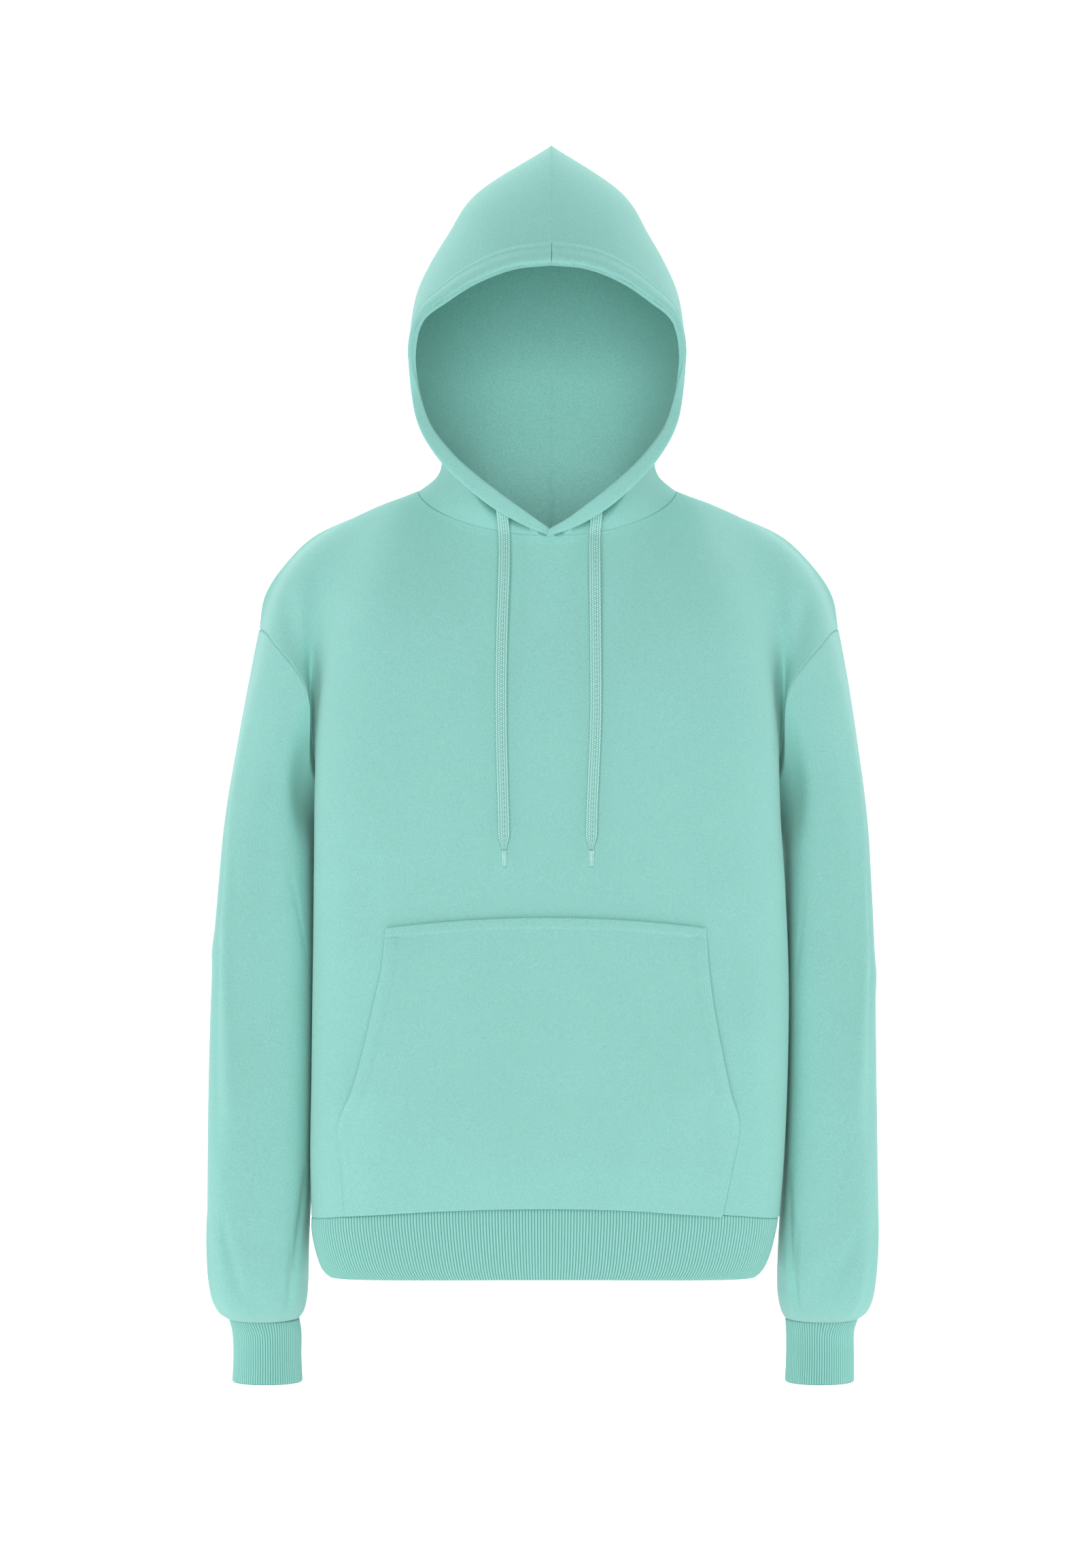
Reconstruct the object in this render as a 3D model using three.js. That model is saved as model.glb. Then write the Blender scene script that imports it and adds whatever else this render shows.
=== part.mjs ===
// A pullover hoodie, filled out as if worn, with its hood up and its sleeves hanging.
// Millimetres, +Z up, the front faces -Y. The origin is the middle of the neck, where the
// shoulders carry it. Left and right are those of the front view: left is -X.
// Every cloth piece is a closed wall: an outer surface on a grid, and an inner one behind it.
import * as THREE from "three";

// Cloth, seams and cords
const WALL = 2.2; // brushed fleece
const RIB_WALL = 2.6; // rib knit, doubled
const SEAM_GAP = 0.5; // between pieces that are sewn together
const POCKET_ROOM = 8; // how far the pocket stands off the front in its middle
const POCKET_GAPE = 15; // and at the edges where the hands go in
const CASING_WIDTH = 21; // turned edge of the hood, with the drawcord in it
const CASING_SWELL = 3.2; // how much the casing stands proud
const CASING_FROM = 2.5; // the row of HOOD above which it does
const TAPE_WIDTH = 10;
const TAPE_THICK = 2;
const AGLET_LENGTH = 14;
const AGLET_RADIUS = 1.5;
const WIDEST_Y = -60; // the body is widest this far in front of the shoulder line
const SIDE_SEAM_Y = 12;
const UNDERARM_EASE = 2.8; // how much further the sleeve stands off the armhole under the arm
const ARMHOLE_FLARE = 60; // how far its cut edges lean out, over and under the arm
const FRONT_POWER = 3.4; // how square the front's section is; 2 is an ellipse
const BACK_POWER = 2;
const RIGHT_SHOULDER_LONGER = 4;

// Colours as the photograph shows them
const FLEECE = { color: 0x93cfc7, roughness: 0.95, metalness: 0 };
const RIB = { color: 0x8fcbc3, roughness: 0.95, metalness: 0 };
const TAPE = { color: 0x96d2ca, roughness: 0.8, metalness: 0 };
const AGLET = { color: 0x8cc9c1, roughness: 0.35, metalness: 0 };

// Level sections of the body, from the hem seam to the underarm. arch lifts the middle.
const BODY = [
  { z: -643, left: 204, right: 202, front: 128, back: 128, arch: 13 },
  { z: -590, left: 205, right: 206, front: 136, back: 128, arch: 8 },
  { z: -520, left: 204, right: 209, front: 138, back: 122, arch: 0 },
  { z: -440, left: 203, right: 210, front: 136, back: 116, arch: 0 },
  { z: -360, left: 202, right: 207, front: 134, back: 118, arch: 0 },
  { z: -292, left: 202, right: 203, front: 132, back: 122, arch: 0 },
];

// The hem rib, from its seam down to its fold
const HEM_RIB = [
  { z: -643.5, left: 204, right: 201, front: 127, back: 127, arch: 13 },
  { z: -655, left: 204, right: 199, front: 126, back: 127, arch: 11 },
  { z: -675, left: 200, right: 194, front: 122, back: 124, arch: 7 },
  { z: -690, left: 194, right: 187, front: 116, back: 119, arch: 3 },
  { z: -696, left: 187, right: 180, front: 110, back: 113, arch: 1 },
];

// Shoulder seam, from the neckline to the dropped shoulder's tip
const SHOULDER = [
  { at: 0, x: 114, z: -9 },
  { at: 0.25, x: 160, z: -28.5 },
  { at: 0.5, x: 206, z: -49 },
  { at: 0.7, x: 235, z: -78 },
  { at: 0.85, x: 250, z: -103 },
  { at: 1, x: 254, z: -131 },
];

// Armhole seam, an eighth of a turn a row: tip, front, underarm, back
const ARMHOLE = [
  { turn: 0, x: 254, y: 5, z: -131 },
  { turn: 45, x: 240, y: -48, z: -143 },
  { turn: 90, x: 207, y: -74, z: -189 },
  { turn: 135, x: 205, y: -46, z: -256 },
  { turn: 180, x: 188, y: SIDE_SEAM_Y, z: -292 },
  { turn: 225, x: 196, y: 62, z: -258 },
  { turn: 270, x: 212, y: 92, z: -195 },
  { turn: 315, x: 241, y: 62, z: -142 },
  { turn: 360, x: 254, y: 5, z: -131 },
];

// Level sections of the sleeves, from below the underarm to the cuff seam. Their front
// half is as square as square says, where 2 is an ellipse.
const SLEEVE = [
  { z: -330, outLeft: 286, inLeft: 203, outRight: 284, inRight: 209.5, front: -76, back: 108, square: 4 },
  { z: -420, outLeft: 292, inLeft: 203, outRight: 287, inRight: 210, front: -82, back: 96, square: 5 },
  { z: -510, outLeft: 295, inLeft: 204, outRight: 288, inRight: 210, front: -84, back: 84, square: 5 },
  { z: -600, outLeft: 296, inLeft: 206, outRight: 289, inRight: 208, front: -85, back: 72, square: 5 },
  { z: -670, outLeft: 296, inLeft: 209, outRight: 290, inRight: 204, front: -82, back: 60, square: 4.5 },
  { z: -712, outLeft: 294, inLeft: 210, outRight: 287, inRight: 203, front: -76, back: 52, square: 3.6 },
  { z: -730, outLeft: 289, inLeft: 213, outRight: 282, inRight: 206, front: -66, back: 46, square: 2.6 },
  { z: -738, outLeft: 281, inLeft: 218, outRight: 275, inRight: 210, front: -50, back: 38, square: 2 },
];

const CUFF = [
  { z: -738.6, outLeft: 280, inLeft: 218, outRight: 274.5, inRight: 210.3, front: -46, back: 36, square: 2 },
  { z: -750, outLeft: 277, inLeft: 216, outRight: 271, inRight: 211, front: -36, back: 24, square: 2 },
  { z: -772, outLeft: 276, inLeft: 216, outRight: 271, inRight: 211, front: -35, back: 23, square: 2 },
  { z: -794, outLeft: 277, inLeft: 215, outRight: 271, inRight: 210, front: -36, back: 24, square: 2 },
];

// The largest folds of the front. Each runs from one x, z to another, bowed sideways, and
// is a ridge, or a groove where its depth is negative.
const FRONT_FOLDS = [
  { x1: -213, z1: -80, x2: -197, z2: -210, bow: 4, wide: 9, depth: 3 },
  { x1: -229, z1: -96, x2: -209, z2: -200, bow: 4, wide: 9, depth: -3 },
  { x1: 212, z1: -80, x2: 201, z2: -200, bow: -3, wide: 9, depth: 3 },
  { x1: 228, z1: -96, x2: 213, z2: -190, bow: -3, wide: 9, depth: -3 },
  { x1: 114, z1: -400, x2: 108, z2: -655, bow: 0, wide: 18, depth: 2.5 },
  { x1: 68, z1: -410, x2: 74, z2: -655, bow: 0, wide: 24, depth: -2 },
  { x1: -122, z1: -400, x2: -142, z2: -655, bow: 4, wide: 24, depth: 2.5 },
  { x1: 152, z1: -370, x2: 172, z2: -630, bow: 0, wide: 18, depth: -2.5 },
  { x1: -146, z1: -330, x2: -172, z2: -540, bow: 0, wide: 18, depth: -2 },
];

// And of the sleeves, whose turn is 0 outside, 90 degrees in front and 180 inside
const SLEEVE_FOLDS = [
  { turn1: 42, z1: -215, turn2: 80, z2: -560, bow: 0, wide: 13, depth: 3.5 },
  { turn1: 28, z1: -230, turn2: 62, z2: -590, bow: 0, wide: 13, depth: -3.5 },
  { turn1: 150, z1: -600, turn2: 112, z2: -765, bow: 0, wide: 11, depth: -4 },
];

// Sections of a hood half, from the neckline up to the top seam. Each runs from the face
// edge (edgeX, edgeY, edgeZ) past its widest point (wide, wideY, wideZ) to the back seam.
const HOOD = [
  { edgeX: 0, edgeY: -108, edgeZ: -54, wide: 114, wideY: 5, wideZ: -9, backY: 78, backZ: 12 },
  { edgeX: 18, edgeY: -116, edgeZ: -40, wide: 99, wideY: 5, wideZ: 3, backY: 83, backZ: 30 },
  { edgeX: 43, edgeY: -118, edgeZ: -22, wide: 94, wideY: 6, wideZ: 16, backY: 91, backZ: 50 },
  { edgeX: 65, edgeY: -115, edgeZ: -3, wide: 96, wideY: 8, wideZ: 30, backY: 101, backZ: 72 },
  { edgeX: 87, edgeY: -108, edgeZ: 20, wide: 106, wideY: 10, wideZ: 48, backY: 112, backZ: 96 },
  { edgeX: 103, edgeY: -100, edgeZ: 43, wide: 117, wideY: 10, wideZ: 70, backY: 122, backZ: 122 },
  { edgeX: 113, edgeY: -92, edgeZ: 75, wide: 122, wideY: 8, wideZ: 99, backY: 132, backZ: 152 },
  { edgeX: 117, edgeY: -88, edgeZ: 105, wide: 121, wideY: 5, wideZ: 129, backY: 138, backZ: 182 },
  { edgeX: 110, edgeY: -87, edgeZ: 133, wide: 116, wideY: 8, wideZ: 163, backY: 141, backZ: 208 },
  { edgeX: 89, edgeY: -89, edgeZ: 150, wide: 105, wideY: 12, wideZ: 190, backY: 140, backZ: 224 },
  { edgeX: 63, edgeY: -92, edgeZ: 166, wide: 89, wideY: 16, wideZ: 218, backY: 138, backZ: 238 },
  { edgeX: 32, edgeY: -96, edgeZ: 177, wide: 64, wideY: 20, wideZ: 256, backY: 134, backZ: 250 },
  { edgeX: 0, edgeY: -100, edgeZ: 180, wide: 0, wideY: 26, wideZ: 298, backY: 128, backZ: 262 },
];

// Half widths of the kangaroo pocket, from its top down to the hem seam. rise lifts the
// middle, and sewn is 1 where the side is sewn down and 0 where the hand goes in.
const POCKET = [
  { z: -391, left: 137, right: 135.5, rise: 9, sewn: 1 },
  { z: -408, left: 138.5, right: 136.7, rise: 7.6, sewn: 0 },
  { z: -424, left: 140, right: 137.7, rise: 6.5, sewn: 0 },
  { z: -452, left: 146, right: 141, rise: 5, sewn: 0 },
  { z: -476, left: 151.2, right: 145, rise: 3.5, sewn: 0 },
  { z: -502, left: 157.5, right: 150, rise: 2, sewn: 0 },
  { z: -532, left: 166.5, right: 156.5, rise: 0.5, sewn: 0 },
  { z: -560, left: 177.5, right: 164, rise: 1, sewn: 1 },
  { z: -600, left: 174.5, right: 157, rise: 3, sewn: 1 },
  { z: -636.5, left: 172, right: 149.5, rise: 7.6, sewn: 1 },
];

// Drawcord ends. They leave the casing's lower edge, cross the neckline seam and lie on
// the chest.
const CORD_LEFT = [
  { x: -38.6, y: -119.4, z: -32 },
  { x: -38, y: -116.4, z: -37 },
  { x: -37.3, y: -111.8, z: -44 },
  { x: -36.6, y: -107.6, z: -52 },
  { x: -36.2, y: -111, z: -64 },
  { x: -36.4, y: -116.8, z: -84 },
  { x: -37.2, y: -120.4, z: -108 },
  { x: -38, y: -123.5, z: -132 },
  { x: -38.6, y: -126.5, z: -158 },
  { x: -38.9, y: -129, z: -184 },
  { x: -38.8, y: -131, z: -210 },
  { x: -38.4, y: -132.6, z: -236 },
  { x: -37.7, y: -133.7, z: -262 },
  { x: -36.9, y: -134.3, z: -290 },
  { x: -36.2, y: -135.2, z: -324 },
];
const CORD_RIGHT = [
  { x: 43.6, y: -118.6, z: -29 },
  { x: 43, y: -113.8, z: -35 },
  { x: 42.3, y: -108.4, z: -43 },
  { x: 41.6, y: -106, z: -52 },
  { x: 41.3, y: -110.4, z: -64 },
  { x: 41.4, y: -116.6, z: -84 },
  { x: 41.6, y: -120.4, z: -108 },
  { x: 41.8, y: -123.5, z: -132 },
  { x: 42, y: -126.5, z: -158 },
  { x: 42.2, y: -129, z: -184 },
  { x: 42, y: -131, z: -210 },
  { x: 41.2, y: -132.6, z: -236 },
  { x: 40, y: -133.7, z: -262 },
  { x: 38.8, y: -134.3, z: -290 },
  { x: 38, y: -135.2, z: -324 },
];

const SHOULDER_COLUMNS = 5;
const BODY_ROWS = 9;
const YOKE_ROWS = 12; // above the underarm; an armhole has twice as many columns
const SLEEVE_HEAD_ROWS = 7;
const SLEEVE_ROWS = 13;
const HOOD_ROWS = 19;
const HEM_RIBS = 140;
const CUFF_RIBS = 30;
const RIB_DEPTH = 1.1;
const COLUMNS_PER_RIB = 2;
const RIBS_PER_INNER_COLUMN = 2;

const mix = (a, b, t) => a + (b - a) * t;
const power = (x, p) => Math.sign(x) * Math.abs(x) ** p;
const smooth = (t) => t * t * (3 - 2 * t);
const clamp01 = (t) => Math.min(1, Math.max(0, t));
const point = (x, y, z) => new THREE.Vector3(x, y, z);

// A named column of a table, read at a value of its key column by a cubic through the rows.
function read(table, key, at, name) {
  const last = table.length - 1;
  const up = table[last][key] > table[0][key] ? 1 : -1;
  let i = 0;
  while (i < last - 1 && up * (at - table[i + 1][key]) > 0) i += 1;
  const slope = (j) => {
    const a = table[Math.max(j - 1, 0)];
    const b = table[Math.min(j + 1, last)];
    return (b[name] - a[name]) / (b[key] - a[key]);
  };
  const [a, b] = [table[i], table[i + 1]];
  const span = b[key] - a[key];
  const t = clamp01((at - a[key]) / span);
  const s = smooth(t);
  const ends = t * (1 - t) * span;
  return mix(a[name], b[name], s) + ends * ((1 - t) * slope(i) - t * slope(i + 1));
}

// How far folds lift a place. Across, each falls off as a bell curve of the distance, and it
// fades out at both ends. The places are in mm.
function foldsAt(folds, x, z) {
  return folds.reduce((sum, { x1, z1, x2, z2, bow, wide, depth }) => {
    const length = Math.hypot(x2 - x1, z2 - z1);
    const [runX, runZ] = [(x2 - x1) / length, (z2 - z1) / length];
    const t = ((x - x1) * runX + (z - z1) * runZ) / length;
    if (t <= 0 || t >= 1) return sum;
    const off = (x - x1) * runZ - (z - z1) * runX - bow * Math.sin(Math.PI * t);
    return sum + depth * Math.sqrt(Math.sin(Math.PI * t)) * Math.exp(-((off / wide) ** 2));
  }, 0);
}

// Hood rows are evenly spaced along their table, so their key is the row's number.
const HOOD_LEVELS = HOOD.map((row, level) => ({ level, ...row }));

// A polyline's points again, n + 1 of them, evenly spaced along it.
function evenly(line, n) {
  const along = [0];
  for (let i = 1; i < line.length; i += 1) along.push(along[i - 1] + line[i].distanceTo(line[i - 1]));
  const total = along[along.length - 1];
  return Array.from({ length: n + 1 }, (_, k) => atLength(line, along, (total * k) / n));
}

function atLength(line, along, length) {
  let i = 1;
  while (i < line.length - 1 && along[i] < length) i += 1;
  return line[i - 1].clone().lerp(line[i], (length - along[i - 1]) / (along[i] - along[i - 1]));
}

// A closed solid from a grid of outer points: the inner surface lies a wall behind the
// outer one. around joins the last column to the first. face may turn a normal, swell
// moves an outer point out.
function wall(grid, { thick = WALL, around = false, face = null, swell = null } = {}) {
  const rows = grid.length;
  const columns = grid[0].length;
  const near = (k) => (around ? (k + columns) % columns : Math.min(Math.max(k, 0), columns - 1));
  const outer = [];
  const inner = [];
  for (let i = 0; i < rows; i += 1) {
    for (let j = 0; j < columns; j += 1) {
      const along = grid[Math.min(i + 1, rows - 1)][j].clone().sub(grid[Math.max(i - 1, 0)][j]);
      const across = grid[i][near(j + 1)].clone().sub(grid[i][near(j - 1)]);
      const normal = across.cross(along).normalize();
      if (face) face(normal, i, j);
      outer.push(grid[i][j].clone().addScaledVector(normal, swell ? swell(i, j) : 0));
      inner.push(grid[i][j].clone().addScaledVector(normal, -thick));
    }
  }
  const at = (i, j) => i * columns + near(j);
  const faces = [];
  const shift = rows * columns;
  const steps = around ? columns : columns - 1;
  for (let i = 0; i < rows - 1; i += 1) {
    for (let j = 0; j < steps; j += 1) {
      const [a, b, c, d] = [at(i, j), at(i, j + 1), at(i + 1, j + 1), at(i + 1, j)];
      faces.push(a, b, c, a, c, d);
      faces.push(shift + a, shift + c, shift + b, shift + a, shift + d, shift + c);
    }
  }
  const rim = (a, b) => faces.push(a, shift + b, b, a, shift + a, shift + b);
  for (let j = 0; j < steps; j += 1) {
    rim(at(0, j), at(0, j + 1));
    rim(at(rows - 1, j + 1), at(rows - 1, j));
  }
  for (let i = 0; i < rows - 1 && !around; i += 1) {
    rim(at(i + 1, 0), at(i, 0));
    rim(at(i, columns - 1), at(i + 1, columns - 1));
  }
  return solid([...outer, ...inner], faces);
}

// A ribbed tube: outer rings carry two columns a rib, inner rings are plain and coarser.
function ribbedTube(ring, heights, ribs) {
  const outerColumns = ribs * COLUMNS_PER_RIB;
  const step = COLUMNS_PER_RIB * RIBS_PER_INNER_COLUMN;
  const innerColumns = outerColumns / step;
  const outer = [];
  const inner = [];
  for (const z of heights) {
    for (let j = 0; j < outerColumns; j += 1) {
      outer.push(ring(z, j / outerColumns, j % COLUMNS_PER_RIB ? -RIB_DEPTH : 0));
    }
    for (let j = 0; j < innerColumns; j += 1) inner.push(ring(z, j / innerColumns, -RIB_WALL));
  }
  const shift = outer.length;
  const out = (i, j) => i * outerColumns + (j % outerColumns);
  const inn = (i, j) => shift + i * innerColumns + (j % innerColumns);
  const faces = [];
  const quads = (at, columns, inward) => {
    for (let i = 0; i < heights.length - 1; i += 1) {
      for (let j = 0; j < columns; j += 1) {
        const [a, b, c, d] = [at(i, j), at(i, j + 1), at(i + 1, j + 1), at(i + 1, j)];
        if (inward) faces.push(a, c, b, a, d, c);
        else faces.push(a, b, c, a, c, d);
      }
    }
  };
  quads(out, outerColumns, false);
  quads(inn, innerColumns, true);
  // The rims join each inner step to the outer columns beside it.
  for (const [i, turned] of [[0, true], [heights.length - 1, false]]) {
    const add = (a, b, c) => faces.push(...(turned ? [a, c, b] : [a, b, c]));
    for (let k = 0; k < innerColumns; k += 1) {
      for (let j = 0; j < step; j += 1) {
        const nearest = j < step / 2 ? k : k + 1;
        add(out(i, k * step + j), out(i, k * step + j + 1), inn(i, nearest));
      }
      add(inn(i, k), out(i, k * step + step / 2), inn(i, k + 1));
    }
  }
  return solid([...outer, ...inner], faces);
}

// A geometry from points and faces, turned so that its faces point out.
function solid(points, faces) {
  let volume = 0;
  for (let i = 0; i < faces.length; i += 3) {
    const [a, b, c] = [points[faces[i]], points[faces[i + 1]], points[faces[i + 2]]];
    volume += a.dot(b.clone().cross(c));
  }
  if (volume < 0) faces.reverse();
  const geometry = new THREE.BufferGeometry().setFromPoints(points);
  geometry.setIndex(faces);
  geometry.computeVertexNormals();
  return geometry;
}

// A point of a level section, turn 0 at the middle front and half a turn at the middle
// back. The front is a squarer curve than the back.
function sectionPoint(table, z, turn, grow = 0) {
  const [sin, cos] = [Math.sin(turn), Math.cos(turn)];
  const p = 2 / (cos > 0 ? FRONT_POWER : BACK_POWER);
  const half = read(table, "z", z, sin < 0 ? "left" : "right") + grow;
  const deep = (cos > 0 ? read(table, "z", z, "front") + WIDEST_Y : read(table, "z", z, "back") - WIDEST_Y) + grow;
  const x = half * power(sin, p);
  const lift = read(table, "z", z, "arch") * (1 - (x / half) ** 2);
  return point(x, WIDEST_Y - deep * power(cos, p), z + lift);
}

// The turn at which a body section crosses the side seam.
function sideSeamTurn(z) {
  const deep = read(BODY, "z", z, "back") - WIDEST_Y;
  return Math.PI / 2 + Math.asin(((SIDE_SEAM_Y - WIDEST_Y) / deep) ** (BACK_POWER / 2));
}

// A row of the front or back panel at a height below the underarm, seam to seam.
function bodyRow(side, z, columns) {
  const seam = sideSeamTurn(z) + (side === "front" ? -1 : 1) * (SEAM_GAP / 2 / 200);
  const [from, to] = side === "front" ? [-seam, seam] : [seam, 2 * Math.PI - seam];
  const dense = Array.from({ length: 721 }, (_, k) => sectionPoint(BODY, z, mix(from, to, k / 720)));
  const row = evenly(dense, columns);
  return side === "front" ? row : row.reverse();
}

// A place on a hood row, turn 0 at its widest point and a quarter turn at the back seam.
// Turns below 0 run forward to the face edge.
function hoodRowPoint(level, turn) {
  const get = (name) => read(HOOD_LEVELS, "level", level, name);
  const [wide, wideY, wideZ] = [get("wide"), get("wideY"), get("wideZ")];
  const sin = Math.sin(turn);
  if (turn >= 0) {
    const z = mix(wideZ, get("backZ"), sin ** 1.8);
    return point(wide * Math.cos(turn), mix(wideY, get("backY"), sin), z);
  }
  const reach = Math.sin(hoodEdgeTurn(level));
  const share = sin / reach;
  const bow = mix(1.2, 2.3, level / (HOOD.length - 1));
  const x = level >= HOOD.length - 1 ? 0 : wide * Math.cos(turn);
  return point(x, mix(wideY, get("edgeY"), share), mix(wideZ, get("edgeZ"), share ** bow));
}

// The turn at which a hood row meets the face edge.
function hoodEdgeTurn(level) {
  const edge = read(HOOD_LEVELS, "level", level, "edgeX");
  const wide = read(HOOD_LEVELS, "level", level, "wide");
  return wide < 1 ? -Math.PI / 2 : -Math.acos(Math.min(1, Math.max(0, edge / wide)));
}

// The casing's columns, from the face edge across it, and how far each stands proud
const CASING_COLUMNS = [0, 0.25, 0.6, 0.88, 1].map((share) => share * CASING_WIDTH);
const CASING_SWELLS = [0.55, 1, 1, 0.5, 0];
const SIDE_COLUMNS = 5;
const NAPE_COLUMNS = 6;

// A hood half's row: across the casing, round the side of the head and on to the back seam.
function hoodRow(level) {
  const edge = hoodEdgeTurn(level);
  const side = Array.from({ length: 181 }, (_, k) => hoodRowPoint(level, mix(edge, 0, k / 180)));
  const along = [0];
  for (let k = 1; k < side.length; k += 1) along.push(along[k - 1] + side[k].distanceTo(side[k - 1]));
  const row = CASING_COLUMNS.map((length) => atLength(side, along, length));
  const rest = along[180] - CASING_WIDTH;
  for (let k = 1; k <= SIDE_COLUMNS; k += 1) {
    row.push(atLength(side, along, CASING_WIDTH + (rest * k) / SIDE_COLUMNS));
  }
  for (let k = 1; k <= NAPE_COLUMNS; k += 1) row.push(hoodRowPoint(level, ((Math.PI / 2) * k) / NAPE_COLUMNS));
  return row;
}

// The panels meet the hood along its lowest row, so they share its points.
const NECKLINE = hoodRow(0);
const NECK = {
  front: NECKLINE.slice(0, CASING_COLUMNS.length + SIDE_COLUMNS),
  back: NECKLINE.slice(CASING_COLUMNS.length + SIDE_COLUMNS - 1).reverse(),
};

// The top edge of a panel, counted from its middle: the neckline, then the shoulder seam.
function topEdge(side, column) {
  const share = Math.abs(column);
  const sign = column < 0 ? -1 : 1;
  const neck = NECK[side].length - 1;
  if (share < neck) return NECK[side][share].clone().multiply(point(sign, 1, 1));
  const at = (share - neck) / SHOULDER_COLUMNS;
  const x = read(SHOULDER, "at", at, "x") + (sign > 0 ? RIGHT_SHOULDER_LONGER * at : 0);
  const y = 5 + (side === "front" ? -1 : 1) * (SEAM_GAP / 2);
  return point(sign * x, y, read(SHOULDER, "at", at, "z"));
}

// A place on the armhole seam. The right one lies a little further out at the top.
function armhole(turn, sign) {
  const get = (name) => read(ARMHOLE, "turn", turn, name);
  const longer = sign > 0 ? RIGHT_SHOULDER_LONGER * Math.cos((turn * Math.PI) / 360) ** 2 : 0;
  return point(sign * (get("x") + longer), get("y"), get("z"));
}

// A point of a panel above the underarm: each column leaves the chest upright and rolls
// over the shoulder to the top edge, and the outer columns bend to the armhole.
function yokePoint(side, column, half, s, low, lowEnds) {
  const rise = (at, from) => {
    const top = topEdge(side, at);
    const round = smooth(clamp01(Math.abs(at) / (NECK[side].length - 1)));
    const quarter = (s * Math.PI) / 2;
    const up = mix(s, Math.sin(quarter) ** 0.95, round);
    const back = mix(1 - s ** 1.8, Math.cos(quarter) ** 0.85, round);
    return point(mix(from.x, top.x, s ** 1.4), mix(top.y, from.y, back), mix(from.z, top.z, up));
  };
  const sign = column < 0 ? -1 : 1;
  const end = lowEnds[sign < 0 ? 0 : 1];
  const turn = side === "front" ? 180 * (1 - s) : 180 + 180 * s;
  const seam = armhole(turn, sign).add(point(0, (side === "front" ? -1 : 1) * (SEAM_GAP / 2), 0));
  const pull = seam.sub(rise(sign * half, end));
  return rise(column, low).addScaledVector(pull, (Math.abs(column) / half) ** mix(10, 4, s));
}

function panelGrid(side) {
  const half = NECK[side].length - 1 + SHOULDER_COLUMNS;
  const [hem, underarm] = [BODY[0].z, BODY[BODY.length - 1].z];
  const grid = [];
  for (let i = 0; i < BODY_ROWS; i += 1) grid.push(bodyRow(side, mix(hem, underarm, i / BODY_ROWS), 2 * half));
  const low = bodyRow(side, underarm, 2 * half);
  const lowEnds = [low[0], low[2 * half]];
  for (let i = 0; i <= YOKE_ROWS; i += 1) {
    grid.push(low.map((from, j) => yokePoint(side, j - half, half, i / YOKE_ROWS, from, lowEnds)));
  }
  if (side === "front") grid.forEach(foldFront);
  return grid;
}

// The front's folds stand out towards the viewer and end at its seams.
function foldFront(row, i) {
  if (i === 0 || i === BODY_ROWS + YOKE_ROWS) return;
  row.slice(1, -1).forEach((at) => {
    at.y -= foldsAt(FRONT_FOLDS, at.x, at.z);
  });
}

// The directions in which a seam's cut edges lie. Pieces that meet share them, so their
// edges stay parallel.
function armholeFace(turn, sign) {
  const middle = [0, 90, 180, 270].reduce((sum, at) => sum.add(armhole(at, sign)), point(0, 0, 0));
  const flare = ARMHOLE_FLARE * Math.cos((turn * Math.PI) / 180) ** 2;
  return armhole(turn, sign).sub(middle.multiplyScalar(0.25)).add(point(sign * flare, 0, 0)).normalize();
}

// Straight across the armhole seam, from the panels to the sleeve
function acrossArmhole(turn, sign) {
  const run = armhole(Math.min(turn + 1, 360), sign).sub(armhole(Math.max(turn - 1, 0), sign));
  const across = run.cross(armholeFace(turn, sign)).normalize();
  return across.multiplyScalar(Math.sign(across.x) * sign);
}

function neckFace(at) {
  return point(at.x, at.y + 15, 0).normalize().setZ(1).multiplyScalar(0.9);
}

function shoulderFace(side, column) {
  const sign = column < 0 ? -1 : 1;
  const run = topEdge(side, column).sub(topEdge(side, column - sign));
  return point(-sign * run.z, 0, sign * run.x).normalize();
}

function sideSeamFace(z, sign) {
  const turn = sideSeamTurn(z);
  const run = sectionPoint(BODY, z, turn + 0.01).sub(sectionPoint(BODY, z, turn - 0.01));
  return point(sign * run.y, -run.x, 0).normalize();
}

function panel(side) {
  const grid = panelGrid(side);
  const last = grid[0].length - 1;
  const face = (normal, i, j) => {
    const s = (i - BODY_ROWS) / YOKE_ROWS;
    const ends = j === 0 || j === last;
    const column = j - last / 2;
    const sign = column < 0 ? -1 : 1;
    const onShoulder = Math.abs(column) > NECK[side].length - 1;
    if (ends && s >= 0) normal.copy(armholeFace(side === "front" ? 180 * (1 - s) : 180 + 180 * s, sign));
    else if (ends) normal.copy(sideSeamFace(mix(BODY[0].z, BODY[BODY.length - 1].z, i / BODY_ROWS), sign));
    else if (s === 1 && onShoulder) normal.copy(shoulderFace(side, column));
    else if (s === 1) normal.copy(neckFace(grid[i][j]));
  };
  if (side === "front") return wall(grid, { face });
  return wall(grid.map((row) => [...row].reverse()), { face: (normal, i, j) => face(normal, i, last - j) });
}

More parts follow.
